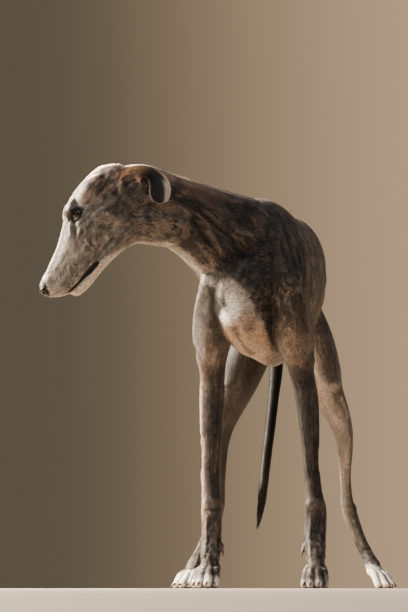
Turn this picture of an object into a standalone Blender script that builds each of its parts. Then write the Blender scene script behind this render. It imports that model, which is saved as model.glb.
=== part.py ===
"""A life-size greyhound that stands with its head turned to its right, as a museum shows one.

The flesh is lofted from named sizes, blended into one skin, and then parted with thin cuts into the pieces
that a person would name. Metres, +Z up, the dog looks along -Y and its left side is at +X. The dog is built
round a point on the floor under its shoulders, and STANCE_SHIFT then brings the middle of its foot print
to the origin.
"""

import math

import bmesh
import bpy
import numpy as np
from mathutils import Matrix, Vector

GAP = 0.0003  # the clear space between two nodes that touch
FLOOR = 0.0
STANCE_SHIFT = Vector((0.0571, -0.2349, 0.0))

# The spine bows a little to the dog's right at both ends, as the dog looks that way.
SPINE_BOW = 0.016
SPINE_BOW_AT = 0.29
SPINE_CURVE = 0.186
HIPS_SHIFT = 0.014  # the hips stand further to the right than the bow alone takes them
HIPS_SHIFT_FROM = 0.33
HIPS_SHIFT_OVER = 0.23

# Trunk sections: place along the body, back height, belly height, half width.
TRUNK = (
    (-0.128, 0.520, 0.448, 0.022),
    (-0.112, 0.560, 0.428, 0.042),
    (-0.075, 0.622, 0.412, 0.062),
    (-0.020, 0.668, 0.405, 0.076),
    (0.040, 0.694, 0.402, 0.084),
    (0.120, 0.694, 0.401, 0.089),
    (0.200, 0.700, 0.407, 0.091),
    (0.280, 0.714, 0.428, 0.090),
    (0.340, 0.721, 0.458, 0.084),
    (0.400, 0.720, 0.494, 0.074),
    (0.460, 0.713, 0.522, 0.067),
    (0.520, 0.700, 0.528, 0.070),
    (0.580, 0.678, 0.515, 0.072),
    (0.630, 0.648, 0.518, 0.062),
    (0.668, 0.612, 0.535, 0.044),
    (0.688, 0.586, 0.550, 0.022),
)
TRUNK_WIDEST = 0.40  # share of the depth, from the back down, where a section is widest
KEEL = 1.32  # how sharply the sides draw in to the breastbone

# Neck: centre of the section, half height, half width.
NECK = (
    (0.010, 0.045, 0.566, 0.112, 0.058),
    (-0.014, -0.030, 0.586, 0.101, 0.062),
    (-0.046, -0.082, 0.6055, 0.0825, 0.057),
    (-0.080, -0.124, 0.6215, 0.0695, 0.051),
    (-0.112, -0.155, 0.6340, 0.0630, 0.046),
    (-0.142, -0.178, 0.6380, 0.0600, 0.043),
    (-0.168, -0.191, 0.6350, 0.0510, 0.039),
)

# Head: a local frame at the tip of the nose, turned right from straight ahead and pitched down.
NOSE_TIP = Vector((-0.3264, -0.2357, 0.4932))
HEAD_TURN = math.radians(75.0)
HEAD_PITCH = math.radians(52.0)
# Upper head: distance behind the nose tip, top, underside, half width.
SKULL = (
    (-0.0045, -0.003, -0.021, 0.0120),
    (0.003, 0.002, -0.0305, 0.0172),
    (0.014, 0.006, -0.0410, 0.0198),
    (0.030, 0.008, -0.0490, 0.0215),
    (0.048, 0.013, -0.0490, 0.0235),
    (0.070, 0.019, -0.049, 0.0260),
    (0.090, 0.027, -0.050, 0.0295),
    (0.108, 0.0355, -0.052, 0.0340),
    (0.124, 0.0455, -0.055, 0.0390),
    (0.142, 0.0530, -0.058, 0.0430),
    (0.162, 0.0565, -0.062, 0.0455),
    (0.184, 0.0570, -0.066, 0.0455),
    (0.206, 0.0540, -0.066, 0.0430),
    (0.228, 0.0485, -0.062, 0.0400),
    (0.250, 0.0320, -0.056, 0.0350),
)
NAPE = ((0.205, 0.000, 0.0375), (0.240, -0.020, 0.0400), (0.256, -0.051, 0.0370))
GULLET = ((0.150, -0.046, 0.0270), (0.185, -0.057, 0.0350), (0.210, -0.078, 0.0400), (0.226, -0.100, 0.0410))

JAW = (
    (0.026, -0.046, -0.0570, 0.0080),
    (0.035, -0.046, -0.0630, 0.0125),
    (0.056, -0.044, -0.0665, 0.0160),
    (0.080, -0.044, -0.0660, 0.0190),
    (0.104, -0.044, -0.0665, 0.0230),
    (0.130, -0.044, -0.0695, 0.0290),
    (0.150, -0.044, -0.0745, 0.0340),
    (0.170, -0.040, -0.0860, 0.0370),
    (0.190, -0.036, -0.0920, 0.0340),
)
MOUTH_LINE = (
    (0.012, -0.040),
    (0.026, -0.0445),
    (0.042, -0.046),
    (0.058, -0.046),
    (0.074, -0.048),
    (0.096, -0.0505),
)

EYE_RADIUS = 0.0108
EYE_AT = (0.1345, 0.0235, 0.0255)  # behind the nose tip, above it, to the side

# Forelegs: centre of the section, half width across, half width front to back.
FORELEG_LEFT = (
    (0.018, 0.040, 0.664, 0.012, 0.024),
    (0.028, 0.010, 0.630, 0.024, 0.042),
    (0.047, -0.020, 0.570, 0.031, 0.052),
    (0.059, -0.030, 0.505, 0.035, 0.055),
    (0.072, 0.005, 0.450, 0.034, 0.054),
    (0.079, 0.045, 0.405, 0.027, 0.042),
    (0.0815, 0.062, 0.372, 0.0215, 0.0330),
    (0.0890, 0.062, 0.330, 0.0207, 0.0265),
    (0.0948, 0.058, 0.260, 0.0170, 0.0205),
    (0.0976, 0.055, 0.205, 0.0157, 0.0162),
    (0.1010, 0.052, 0.165, 0.0166, 0.0158),
    (0.1035, 0.050, 0.140, 0.0208, 0.0178),
    (0.1044, 0.050, 0.118, 0.0203, 0.0155),
    (0.1030, 0.045, 0.085, 0.0203, 0.0142),
    (0.1050, 0.036, 0.052, 0.0182, 0.0152),
)
FORELEG_RIGHT = (
    (-0.008, 0.032, 0.664, 0.012, 0.024),
    (-0.020, -0.015, 0.630, 0.024, 0.042),
    (-0.036, -0.050, 0.570, 0.031, 0.052),
    (-0.050, -0.068, 0.505, 0.034, 0.055),
    (-0.064, -0.040, 0.450, 0.033, 0.053),
    (-0.069, -0.008, 0.405, 0.027, 0.042),
    (-0.0705, 0.004, 0.372, 0.0225, 0.0330),
    (-0.0705, 0.004, 0.330, 0.0220, 0.0265),
    (-0.0723, -0.002, 0.260, 0.0186, 0.0205),
    (-0.0731, -0.008, 0.205, 0.0175, 0.0162),
    (-0.0705, -0.012, 0.165, 0.0175, 0.0158),
    (-0.0690, -0.015, 0.140, 0.0195, 0.0178),
    (-0.0688, -0.016, 0.118, 0.0188, 0.0155),
    (-0.0690, -0.021, 0.085, 0.0185, 0.0140),
    (-0.0695, -0.030, 0.052, 0.0182, 0.0152),
)

# Hind legs: out from the pelvis, back from the hips, height, half width across, half width front to back
# and how far the section turns outward, in degrees.
HIPS_AT = 0.600
HIPS_SLOPE = -0.115
HIND_LEG = (
    (0.026, -0.010, 0.640, 0.026, 0.060, 0),
    (0.034, -0.018, 0.595, 0.034, 0.076, 0),
    (0.049, -0.026, 0.535, 0.040, 0.084, 2),
    (0.062, -0.034, 0.487, 0.043, 0.080, 4),
    (0.074, -0.040, 0.445, 0.040, 0.068, 8),
    (0.088, -0.040, 0.408, 0.034, 0.056, 12),
    (0.108, -0.028, 0.366, 0.0275, 0.044, 16),
    (0.122, -0.010, 0.330, 0.0215, 0.036, 20),
    (0.1285, 0.010, 0.292, 0.0160, 0.0290, 22),
    (0.1300, 0.036, 0.250, 0.0120, 0.0210, 24),
    (0.1320, 0.060, 0.212, 0.0115, 0.0170, 25),
    (0.1350, 0.078, 0.180, 0.0130, 0.0190, 26),
    (0.1430, 0.086, 0.148, 0.0152, 0.0185, 28),
    (0.1580, 0.084, 0.108, 0.0138, 0.0150, 28),
    (0.1750, 0.076, 0.070, 0.0145, 0.0140, 28),
    (0.1870, 0.064, 0.045, 0.0175, 0.0150, 28),
)
# The heel bone, the tendon that runs to it and the skin between that tendon and the shank.
HEEL = ((0.136, 0.082, 0.160, 0.0115), (0.1345, 0.106, 0.188, 0.0075))
TENDON = ((0.121, 0.024, 0.315, 0.0110), (0.128, 0.062, 0.262, 0.0060), (0.134, 0.101, 0.192, 0.0058))
WEB = (
    (0.1265, 0.054, 0.268, 0.0062),
    (0.1290, 0.069, 0.235, 0.0066),
    (0.1315, 0.080, 0.212, 0.0070),
    (0.1340, 0.088, 0.190, 0.0075),
)
RIGHT_THIGH = 0.005  # extra breadth of the right thigh, which carries more weight

# Tail: centre and radius.
TAIL = (
    (-0.022, 0.640, 0.612, 0.0200),
    (-0.028, 0.674, 0.590, 0.0175),
    (-0.0350, 0.701, 0.550, 0.0160),
    (-0.0385, 0.713, 0.505, 0.0155),
    (-0.0418, 0.714, 0.455, 0.0150),
    (-0.0473, 0.708, 0.400, 0.0130),
    (-0.0533, 0.700, 0.340, 0.0123),
    (-0.0600, 0.690, 0.280, 0.0120),
    (-0.0655, 0.680, 0.220, 0.0114),
    (-0.0690, 0.674, 0.180, 0.0100),
    (-0.0735, 0.670, 0.150, 0.0074),
    (-0.0765, 0.667, 0.128, 0.0038),
)

# Paws: toes fan out from a heel pad. Reach, height and radius of root, knuckle and tip.
TOE_SPREAD = (-0.0135, -0.0056, 0.0056, 0.0135)
TOE_REACH = (0.026, 0.037, 0.037, 0.026)
TOE_FAN = (-0.13, -0.03, 0.03, 0.13)
TOE_ROOT = (-0.010, 0.036, 0.0092)
TOE_KNUCKLE_HEIGHT = 0.0275
TOE_KNUCKLE_RADIUS = 0.0086
TOE_TIP_RADIUS = 0.0084
PAD_SINK = 0.0006  # how far a pad presses flat on the floor

CLAW_LENGTH = 0.0120
CLAW_DIP = 0.0060
CLAW_RADIUS = 0.0029
CLAW_HEIGHT = 0.0015
CLAW_AROUND = 6
HEEL_PAD = 0.0105
HEEL_PAD_BACK = -0.008
TOE_KNUCKLE_AT = 0.42
INSTEP_HEIGHT = 0.033
INSTEP_WIDTH = (0.93, 0.90)  # of the leg's own half width at its end
HIND_PAW_AT = (0.1935, 0.050)
HIND_PAW_TURN = math.radians(34)
# Dewclaws: where the small toe lies on the inside of each wrist, and where its claw points.
DEWCLAWS = {
    "fore_left": ((0.0850, 0.0400, 0.0720), (-0.35, -0.45, -0.80)),
    "fore_right": ((-0.0510, -0.0260, 0.0720), (0.35, -0.45, -0.80)),
}
ACROSS = (1, 0.1, 0)
# Forepaws: centre, heading from straight ahead, and the leg's sections.
FORE_PAWS = {
    "fore_left": ((0.1055, 0.026), math.radians(2), FORELEG_LEFT),
    "fore_right": ((-0.0700, -0.040), math.radians(-6), FORELEG_RIGHT),
}
CAP_STEPS = (0.97, 0.78, 0.45)
CROWN = 0.95  # how round the back is

# Pieces of each side of the head: place behind, above and beside the nose tip, radius and stretch.
HEAD_BALLS = (
    ("brow", (0.136, 0.040, 0.0200), 0.0130, (0.95, 1.45, 0.85)),
    ("cheek", (0.168, -0.034, 0.0250), 0.020, (0.90, 1.65, 1.35)),
    ("temple", (0.180, 0.026, 0.0225), 0.022, (0.95, 1.75, 1.15)),
    ("wing", (0.0065, -0.0105, 0.0090), 0.0078, (0.95, 1.10, 1.15)),
)
CHEEKBONE = (
    (0.108, 0.004, 0.0240, 0.0080),
    (0.134, 0.000, 0.0335, 0.0090),
    (0.160, -0.006, 0.0385, 0.0095),
    (0.192, -0.008, 0.0370, 0.0085),
)
LIP = (
    (0.026, -0.0405, 0.0120, 0.0048),
    (0.042, -0.0420, 0.0125, 0.0048),
    (0.058, -0.0420, 0.0135, 0.0048),
    (0.074, -0.0440, 0.0145, 0.0048),
    (0.096, -0.0465, 0.0170, 0.0048),
)
MOUTH_GROOVE = 0.0012
NOSTRIL = (
    (0.0100, -0.0130, 0.0055, 0.0020),
    (0.0005, -0.0120, 0.0085, 0.0027),
    (0.0050, -0.0150, 0.0180, 0.0012),
)
LID_THICKNESS = 0.0036
EYE_LOOKS = (0.48, 0.84, 0.26)  # forward, sideways and up
EYE_SLANT = (-0.80, 0.35, 0.30)
EYE_OPENING = (0.0098, 0.0056, 0.0200)
EYE_OPENING_OUT = 0.0140
EYE_SEGMENTS = 16

# Ears, as level distance behind the nose tip, height over it, place to the side and depth of the hollow.
# One line follows the edge that faces forward and then up; the other follows the edge that faces back.
EAR_LEADING = (
    (0.1299, 0.1548, 0.020, 0.004),
    (0.1301, 0.1721, 0.037, 0.009),
    (0.1371, 0.1905, 0.047, 0.012),
    (0.1526, 0.1983, 0.051, 0.013),
    (0.1714, 0.1990, 0.053, 0.013),
    (0.1882, 0.1952, 0.055, 0.012),
    (0.2020, 0.1869, 0.057, 0.010),
    (0.2118, 0.1736, 0.059, 0.008),
    (0.2157, 0.1584, 0.060, 0.007),
    (0.2117, 0.1404, 0.060, 0.005),
    (0.2017, 0.1354, 0.060, 0.003),
)
EAR_TRAILING = (
    (0.1719, 0.1548, 0.020, 0.004),
    (0.1681, 0.1701, 0.037, 0.009),
    (0.1662, 0.1746, 0.046, 0.012),
    (0.1677, 0.1790, 0.050, 0.013),
    (0.1715, 0.1817, 0.052, 0.013),
    (0.1763, 0.1794, 0.054, 0.012),
    (0.1790, 0.1719, 0.057, 0.010),
    (0.1798, 0.1626, 0.059, 0.008),
    (0.1797, 0.1504, 0.060, 0.007),
    (0.1847, 0.1404, 0.060, 0.005),
    (0.1937, 0.1359, 0.060, 0.003),
)
EAR_ACROSS = 5
EAR_THICKNESS = 0.0030
EAR_RIGHT_OUT = 0.012  # the right flap is pushed out by the neck, which bends to that side

# Plain finishes by the start of a node's name.
FINISHES = {
    "coat": ((0.075, 0.052, 0.040), 0.75),
    "nose": ((0.012, 0.010, 0.010), 0.45),
    "eye": ((0.020, 0.012, 0.008), 0.08),
    "claw": ((0.260, 0.120, 0.085), 0.40),
    "ear": ((0.090, 0.062, 0.050), 0.75),
    "tail": ((0.030, 0.024, 0.022), 0.75),
}

RING = 28  # points round a flesh section
RINGS_BETWEEN = 4  # sections added between two named ones

# Where the flesh is parted: centre of the cut and the direction across it.
NECK_CUT = ((-0.012, -0.078, 0.583), (-0.09, -0.84, 0.54), 0.30)
THROAT_CUT = ((-0.120, -0.161, 0.642), (-0.74, -0.64, 0.20), 0.22)
TAIL_CUT = ((-0.036, 0.709, 0.532), (-0.12, 0.25, -0.96), 0.050)
ELBOW_CUT_HEIGHT = 0.3965
CARPUS_CUT_HEIGHT = 0.158
FORE_PAW_CUT_HEIGHT = 0.088
HIND_PAW_CUT_HEIGHT = 0.064
GROIN_CUT = ((0.057, -0.020, 0.560), (0.956, 0.143, -0.255), 0.34)
KNEE_CUT = ((0.122, -0.010, 0.330), (0.22, 0.38, -0.90), 0.13)
HOCK_CUT = ((0.130, 0.078, 0.206), (0.03, 0.35, -0.94), 0.10)
NOSE_CUT = ((0.0105, -0.008), (0.874, 0.485), 0.075)

BODY_VOXEL = 0.0036
FINE_VOXEL = 0.0020
BODY_TRIANGLES = 5400
HEAD_TRIANGLES = 2500
PAW_TRIANGLES = 460
SLIVER = 2e-7  # a crumb of flesh smaller than this is left out


def spine_x(y):
    """Sideways place of the spine at a place along the body."""
    share = min(max((y - HIPS_SHIFT_FROM) / HIPS_SHIFT_OVER, 0), 1)
    return SPINE_BOW - SPINE_CURVE * (y - SPINE_BOW_AT) ** 2 - HIPS_SHIFT * share * share * (3 - 2 * share)


def smooth_rows(rows, between=RINGS_BETWEEN):
    """Rows on a smooth curve through the named rows."""
    rows = np.asarray(rows, float)
    ends = np.vstack([2 * rows[0] - rows[1], rows, 2 * rows[-1] - rows[-2]])
    t = np.arange(between + 1)[:, None] / (between + 1)
    pieces = []
    for a, b, c, d in zip(ends, ends[1:], ends[2:], ends[3:]):
        bend = (2 * a - 5 * b + 4 * c - d) * t**2 + (3 * b - a - 3 * c + d) * t**3
        pieces.append(0.5 * (2 * b + (c - a) * t + bend))
    return np.vstack(pieces + [rows[-1:]])


def linked(name, mesh):
    """A new object in the scene."""
    made = bpy.data.objects.new(name, mesh)
    bpy.context.scene.collection.objects.link(made)
    return made


def mesh_object(name, points, faces):
    """An object from points and faces, with its normals outwards."""
    mesh = bpy.data.meshes.new(name)
    mesh.from_pydata([tuple(map(float, p)) for p in points], [], faces)
    work = bmesh.new()
    work.from_mesh(mesh)
    bmesh.ops.recalc_face_normals(work, faces=work.faces)
    work.to_mesh(mesh)
    work.free()
    return linked(name, mesh)


def loft(name, rings):
    """A closed skin through rings of points, with a point at the middle of each end."""
    rings = np.asarray(rings)
    count, around = rings.shape[:2]
    points = np.vstack([rings.reshape(-1, 3), rings[0].mean(0), rings[-1].mean(0)])
    faces = []
    for i in range(count - 1):
        for j in range(around):
            k = (j + 1) % around
            faces.append((i * around + j, i * around + k, (i + 1) * around + k, (i + 1) * around + j))
    first, last = count * around, count * around + 1
    for j in range(around):
        k = (j + 1) % around
        faces.append((first, k, j))
        faces.append((last, (count - 1) * around + j, (count - 1) * around + k))
    return mesh_object(name, points, faces)


def trunk_body():
    """The barrel from the breast to the rump: egg-shaped sections, drawn in to a keel below."""
    angles = np.linspace(0, 2 * math.pi, RING, endpoint=False)
    across, up = np.cos(angles), np.sin(angles)
    rings = []
    for y, top, bottom, half in smooth_rows(TRUNK):
        widest = top - TRUNK_WIDEST * (top - bottom)
        side = np.sign(across) * np.abs(across) ** np.where(up < 0, KEEL, CROWN)
        height = np.where(up > 0, (top - widest) * up, (widest - bottom) * up)
        rings.append(np.stack([spine_x(y) + half * side, np.full(RING, y), widest + height], 1))
    return loft("trunk", rings)


def tube(name, rows, sideways, around=RING, between=RINGS_BETWEEN):
    """A skin along centres with half sizes across and front to back; sideways is where the first points."""
    rows = smooth_rows(rows, between)
    centres, half_a, half_b = rows[:, :3], rows[:, 3], rows[:, 4]
    along = np.gradient(centres, axis=0)
    along /= np.linalg.norm(along, axis=1, keepdims=True)
    wanted = np.asarray(sideways, float)
    if rows.shape[1] > 5:
        turn = np.radians(rows[:, 5:6])
        ahead = np.cross((0, 0, 1), wanted)
        wanted = np.cos(turn) * wanted + np.sin(turn) * ahead
    side = wanted - (along * wanted).sum(1, keepdims=True) * along
    side /= np.linalg.norm(side, axis=1, keepdims=True)
    other = np.cross(along, side)
    angles = np.linspace(0, 2 * math.pi, around, endpoint=False)
    rings = (
        centres[:, None]
        + half_a[:, None, None] * np.cos(angles)[None, :, None] * side[:, None]
        + half_b[:, None, None] * np.sin(angles)[None, :, None] * other[:, None]
    )
    return loft(name, rings)


def chain(name, rows, around=RING, between=RINGS_BETWEEN):
    """A tapered limb through centres with radii, rounded at both ends."""
    rows = np.asarray(rows, float)
    first, last = rows[0], rows[-1]
    start = (first[:3] - rows[1, :3]) / np.linalg.norm(first[:3] - rows[1, :3])
    end = (last[:3] - rows[-2, :3]) / np.linalg.norm(last[:3] - rows[-2, :3])
    head = [(*(first[:3] + start * first[3] * c), first[3] * math.sqrt(1 - c * c)) for c in CAP_STEPS]
    foot = [(*(last[:3] + end * last[3] * c), last[3] * math.sqrt(1 - c * c)) for c in reversed(CAP_STEPS)]
    body = smooth_rows(rows, between)
    full = np.vstack([head, body, foot])
    side = (0.9, 0.1, 0.2) if abs(end[0]) < 0.8 else (0.1, 0.9, 0.2)
    return tube(name, np.column_stack([full, full[:, 3]]), side, around, 0)


def ball(name, centre, radius, scale=(1, 1, 1), turn=None, segments=24):
    """A ball, stretched and turned."""
    bpy.ops.mesh.primitive_uv_sphere_add(segments=segments, ring_count=segments // 2, radius=radius)
    made = bpy.context.object
    made.name = name
    matrix = Matrix.Translation(Vector(centre)) @ (turn.to_4x4() if turn else Matrix.Identity(4))
    made.data.transform(matrix @ Matrix.Diagonal((*scale, 1)))
    return made


def columns(a, b, c):
    """A rotation from three directions."""
    return Matrix((a, b, c)).transposed()


class HeadFrame:
    """The head's own directions: forward to the nose, left and up."""

    def __init__(self):
        level = Vector((-math.sin(HEAD_TURN), -math.cos(HEAD_TURN), 0))
        self.left = Vector((-level.y, level.x, 0))
        self.forward = level * math.cos(HEAD_PITCH) - Vector((0, 0, math.sin(HEAD_PITCH)))
        self.up = self.forward.cross(self.left)
        self.turn = columns(self.left, -self.forward, self.up)

    def at(self, back, up, left=0.0):
        """A point by its distance behind the nose tip, above it and to the left."""
        return NOSE_TIP - self.forward * back + self.up * up + self.left * left

    def level(self, behind, high, left):
        """A point by its level distance behind the nose tip, its height over it and its place to the left."""
        back = behind * math.cos(HEAD_PITCH) + high * math.sin(HEAD_PITCH)
        up = high * math.cos(HEAD_PITCH) - behind * math.sin(HEAD_PITCH)
        return self.at(back, up, left)

    def way(self, forward, left, up):
        """A direction in the head's own terms."""
        return (self.forward * forward + self.left * left + self.up * up).normalized()


HEAD = HeadFrame()


def head_loft(name, rows, widest, crown):
    """A skin through head sections of distance back, top, underside and half width."""
    angles = np.linspace(0, 2 * math.pi, RING, endpoint=False)
    across, up = np.cos(angles), np.sin(angles)
    left, high = np.array(HEAD.left), np.array(HEAD.up)
    rings = []
    for back, top, bottom, half in smooth_rows(rows):
        level = top - widest * (top - bottom)
        side = half * np.sign(across) * np.abs(across) ** np.where(up < 0, 1.0, crown)
        height = np.where(up > 0, (top - level) * up, (level - bottom) * up)
        middle = np.array(HEAD.at(back, level))
        rings.append(middle + side[:, None] * left + height[:, None] * high)
    return loft(name, rings)


def head_pieces():
    """The skull, jaw, brows, cheeks and lips, which the blend joins."""
    pieces = [head_loft("skull", SKULL, 0.56, 0.9), head_loft("jaw", JAW, 0.35, 0.8)]
    for side in (1, -1):
        back, up, out = EYE_AT
        pieces.append(ball("orbit", HEAD.at(back, up, side * out), EYE_RADIUS + LID_THICKNESS))
        for name, (b, u, l), radius, scale in HEAD_BALLS:
            pieces.append(ball(name, HEAD.at(b, u, side * l), radius, scale, HEAD.turn))
        for name, rows in (("cheekbone", CHEEKBONE), ("lip", LIP)):
            pieces.append(chain(name, [(*HEAD.at(b, u, side * l), r) for b, u, l, r in rows]))
    for name, rows in (("nape", NAPE), ("gullet", GULLET)):
        pieces.append(chain(name, [(*HEAD.at(b, u), r) for b, u, r in rows]))
    pieces.append(tube("neck_end", NECK[-4:], (0, 0, 1)))
    return pieces


def evaluated(thing, name):
    """A new object with the modifiers of another applied."""
    depsgraph = bpy.context.evaluated_depsgraph_get()
    mesh = bpy.data.meshes.new_from_object(thing.evaluated_get(depsgraph))
    mesh.name = name
    return linked(name, mesh)


def joined(name, pieces):
    """One object that holds the meshes of several."""
    work = bmesh.new()
    for piece in pieces:
        work.from_mesh(piece.data)
        bpy.data.objects.remove(piece)
    mesh = bpy.data.meshes.new(name)
    work.to_mesh(mesh)
    work.free()
    return linked(name, mesh)


def blended(name, pieces, voxel, smoothing, triangles):
    """Pieces melted into one skin, smoothed and brought down to about a number of triangles."""
    whole = joined(name, pieces)
    melt = whole.modifiers.new("melt", "REMESH")
    melt.mode = "VOXEL"
    melt.voxel_size = voxel
    soften = whole.modifiers.new("soften", "SMOOTH")
    soften.factor = 0.5
    soften.iterations = smoothing
    fine = evaluated(whole, name)
    bpy.data.objects.remove(whole)
    count = sum(len(p.vertices) - 2 for p in fine.data.polygons)
    reduce = fine.modifiers.new("reduce", "DECIMATE")
    reduce.ratio = triangles / count
    made = evaluated(fine, name)
    bpy.data.objects.remove(fine)
    return made


def moved(thing, home):
    """Puts an object in one collection only."""
    for held in list(thing.users_collection):
        held.objects.unlink(thing)
    home.objects.link(thing)


def carved(thing, cutters, solver="EXACT"):
    """Takes cutters away from an object, one after another, and puts them with the other cutters."""
    for cutter in cutters:
        cut = thing.modifiers.new("cut", "BOOLEAN")
        cut.operation = "DIFFERENCE"
        cut.solver = solver
        cut.object = cutter
        cutter.hide_render = True
        cutter.display_type = "WIRE"
    name = thing.name
    made = evaluated(thing, name)
    bpy.data.objects.remove(thing)
    made.name = name
    for cutter in cutters:
        moved(cutter, bpy.data.collections["cutters"])
    return made


def slab(centre, across, size, thick=GAP):
    """A thin plate that parts the flesh: as thick as the gap between nodes."""
    across = Vector(across).normalized()
    side = across.orthogonal().normalized()
    bpy.ops.mesh.primitive_cube_add(size=1)
    made = bpy.context.object
    made.name = "plate"
    turn = columns(side, across.cross(side), across).to_4x4()
    scale = Matrix.Diagonal((size, size, thick, 1))
    made.data.transform(Matrix.Translation(Vector(centre)) @ turn @ scale)
    return made


def volume(thing):
    """The volume inside a closed mesh."""
    work = bmesh.new()
    work.from_mesh(thing.data)
    size = work.calc_volume()
    work.free()
    return size


def loose_parts(thing):
    """Splits an object into its separate closed bodies, largest first, without crumbs."""
    bpy.ops.object.select_all(action="DESELECT")
    thing.select_set(True)
    bpy.context.view_layer.objects.active = thing
    bpy.ops.object.mode_set(mode="EDIT")
    bpy.ops.mesh.select_all(action="SELECT")
    bpy.ops.mesh.separate(type="LOOSE")
    bpy.ops.object.mode_set(mode="OBJECT")
    parts = sorted(bpy.context.selected_objects, key=volume, reverse=True)
    for crumb in [part for part in parts if volume(part) < SLIVER]:
        parts.remove(crumb)
        bpy.data.objects.remove(crumb)
    return parts


def middle(thing):
    """The mean of an object's points."""
    return sum((v.co for v in thing.data.vertices), Vector()) / len(thing.data.vertices)


def sheared(thing, point, keep):
    """Cuts an object at a plane, keeps the side that a direction points to, and closes the cut."""
    work = bmesh.new()
    work.from_mesh(thing.data)
    geometry = work.verts[:] + work.edges[:] + work.faces[:]
    cut = bmesh.ops.bisect_plane(
        work, geom=geometry, dist=1e-6, plane_co=point, plane_no=keep, clear_inner=True
    )
    edges = [e for e in cut["geom_cut"] if isinstance(e, bmesh.types.BMEdge)]
    bmesh.ops.holes_fill(work, edges=edges, sides=0)
    bmesh.ops.triangulate(work, faces=work.faces[:])
    work.to_mesh(thing.data)
    work.free()
    return thing


def surface_point(thing, origin, way):
    """Where a ray first meets an object."""
    hit, place, _, _ = thing.ray_cast(origin, way)
    return place if hit else origin


def eye_turn(side):
    """The set of the eye's opening: along it, across it and outward."""
    out = HEAD.way(*(v * s for v, s in zip(EYE_LOOKS, (1, side, 1))))
    along = HEAD.way(*(v * s for v, s in zip(EYE_SLANT, (1, side, 1))))
    along = (along - out * along.dot(out)).normalized()
    return columns(along, out.cross(along), out)


def face_cutters(head):
    """The openings of the lids and nostrils and the line of the mouth."""
    cutters = []
    for side in (1, -1):
        back, up, out = EYE_AT
        centre = HEAD.at(back, up, side * out)
        turn = eye_turn(side)
        cutters.append(ball("socket", centre, EYE_RADIUS + GAP, segments=EYE_SEGMENTS))
        opening = centre + turn.col[2] * EYE_OPENING_OUT
        cutters.append(ball("lid_opening", opening, 1, EYE_OPENING, turn, EYE_SEGMENTS))
        line = []
        for back, up in MOUTH_LINE:
            way = HEAD.way(0, -side, 0)
            place = surface_point(head, HEAD.at(back, up, side * 0.08), way)
            line.append((*place, MOUTH_GROOVE))
        cutters.append(chain("mouth_line", line, 6, 0))
        cutters.append(chain("nostril", [(*HEAD.at(b, u, side * l), r) for b, u, l, r in NOSTRIL], 8, 2))
    return cutters


def head_nodes():
    """The head with its lids, lips and nostrils, the nose leather and the eyes."""
    head = blended("head", head_pieces(), FINE_VOXEL, 10, HEAD_TRIANGLES)
    centre, across, _ = THROAT_CUT
    across = Vector(across).normalized()
    head = sheared(head, Vector(centre) + across * GAP / 2, across)
    centre, (forward, up), size = NOSE_CUT
    plate = slab(HEAD.at(*centre), HEAD.way(forward, 0, up), size)
    head = carved(head, [*face_cutters(head), plate])
    parts = loose_parts(head)
    parts[0].name = "head"
    parts[1].name = "nose"
    nodes = parts[:2]
    for side, label in ((1, "left"), (-1, "right")):
        back, up, out = EYE_AT
        eye = ball("eye_" + label, HEAD.at(back, up, side * out), EYE_RADIUS, segments=EYE_SEGMENTS)
        nodes.append(eye)
    return nodes


def inflated(thing, reach):
    """A copy of an object, grown outward along its normals."""
    made = linked("grown", thing.data.copy())
    mesh = made.data
    for vertex, normal in zip(mesh.vertices, [v.vector.copy() for v in mesh.vertex_normals]):
        vertex.co += normal * reach
    return made


def ear(side, head, neck):
    """A folded-back ear: a trough that opens outward, bent over so that its flap hangs behind the fold."""
    leading = smooth_rows(EAR_LEADING, 1)
    trailing = smooth_rows(EAR_TRAILING, 1)
    if side < 0:
        lean = EAR_RIGHT_OUT * np.linspace(0, 1, len(leading))
        leading[:, 2] += lean
        trailing[:, 2] += lean
    share = np.linspace(0, 1, EAR_ACROSS)[:, None]
    rings = []
    for front, rear in zip(leading, trailing):
        row = rear[None] * (1 - share) + front[None] * share
        hollow = row[:, 3] * (1 - (2 * share[:, 0] - 1) ** 2)
        thick = EAR_THICKNESS * (0.35 + 0.65 * np.sin(math.pi * np.clip(share[:, 0], 0.08, 0.92)))
        inner = [HEAD.level(h, z, side * (l - d)) for (h, z, l, _), d in zip(row, hollow)]
        outer = [HEAD.level(h, z, side * (l - d - t)) for (h, z, l, _), d, t in zip(row, hollow, thick)]
        rings.append(np.array(inner + outer[::-1]))
    flap = loft("ear_left" if side > 0 else "ear_right", rings)
    return carved(flap, [inflated(head, GAP), inflated(neck, GAP)], "MANIFOLD")


def claw(root, way, name):
    """A short curved claw."""
    dip = Vector((0, 0, -1))
    rows = []
    for share in (0.0, 0.5, 0.85, 1.0):
        place = root + way * CLAW_LENGTH * share + dip * CLAW_DIP * share * share
        radius = CLAW_RADIUS * (1 - 0.75 * share * share)
        rows.append((*place, radius, radius))
    return tube(name, rows, way.cross(dip), CLAW_AROUND, 0)


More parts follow.
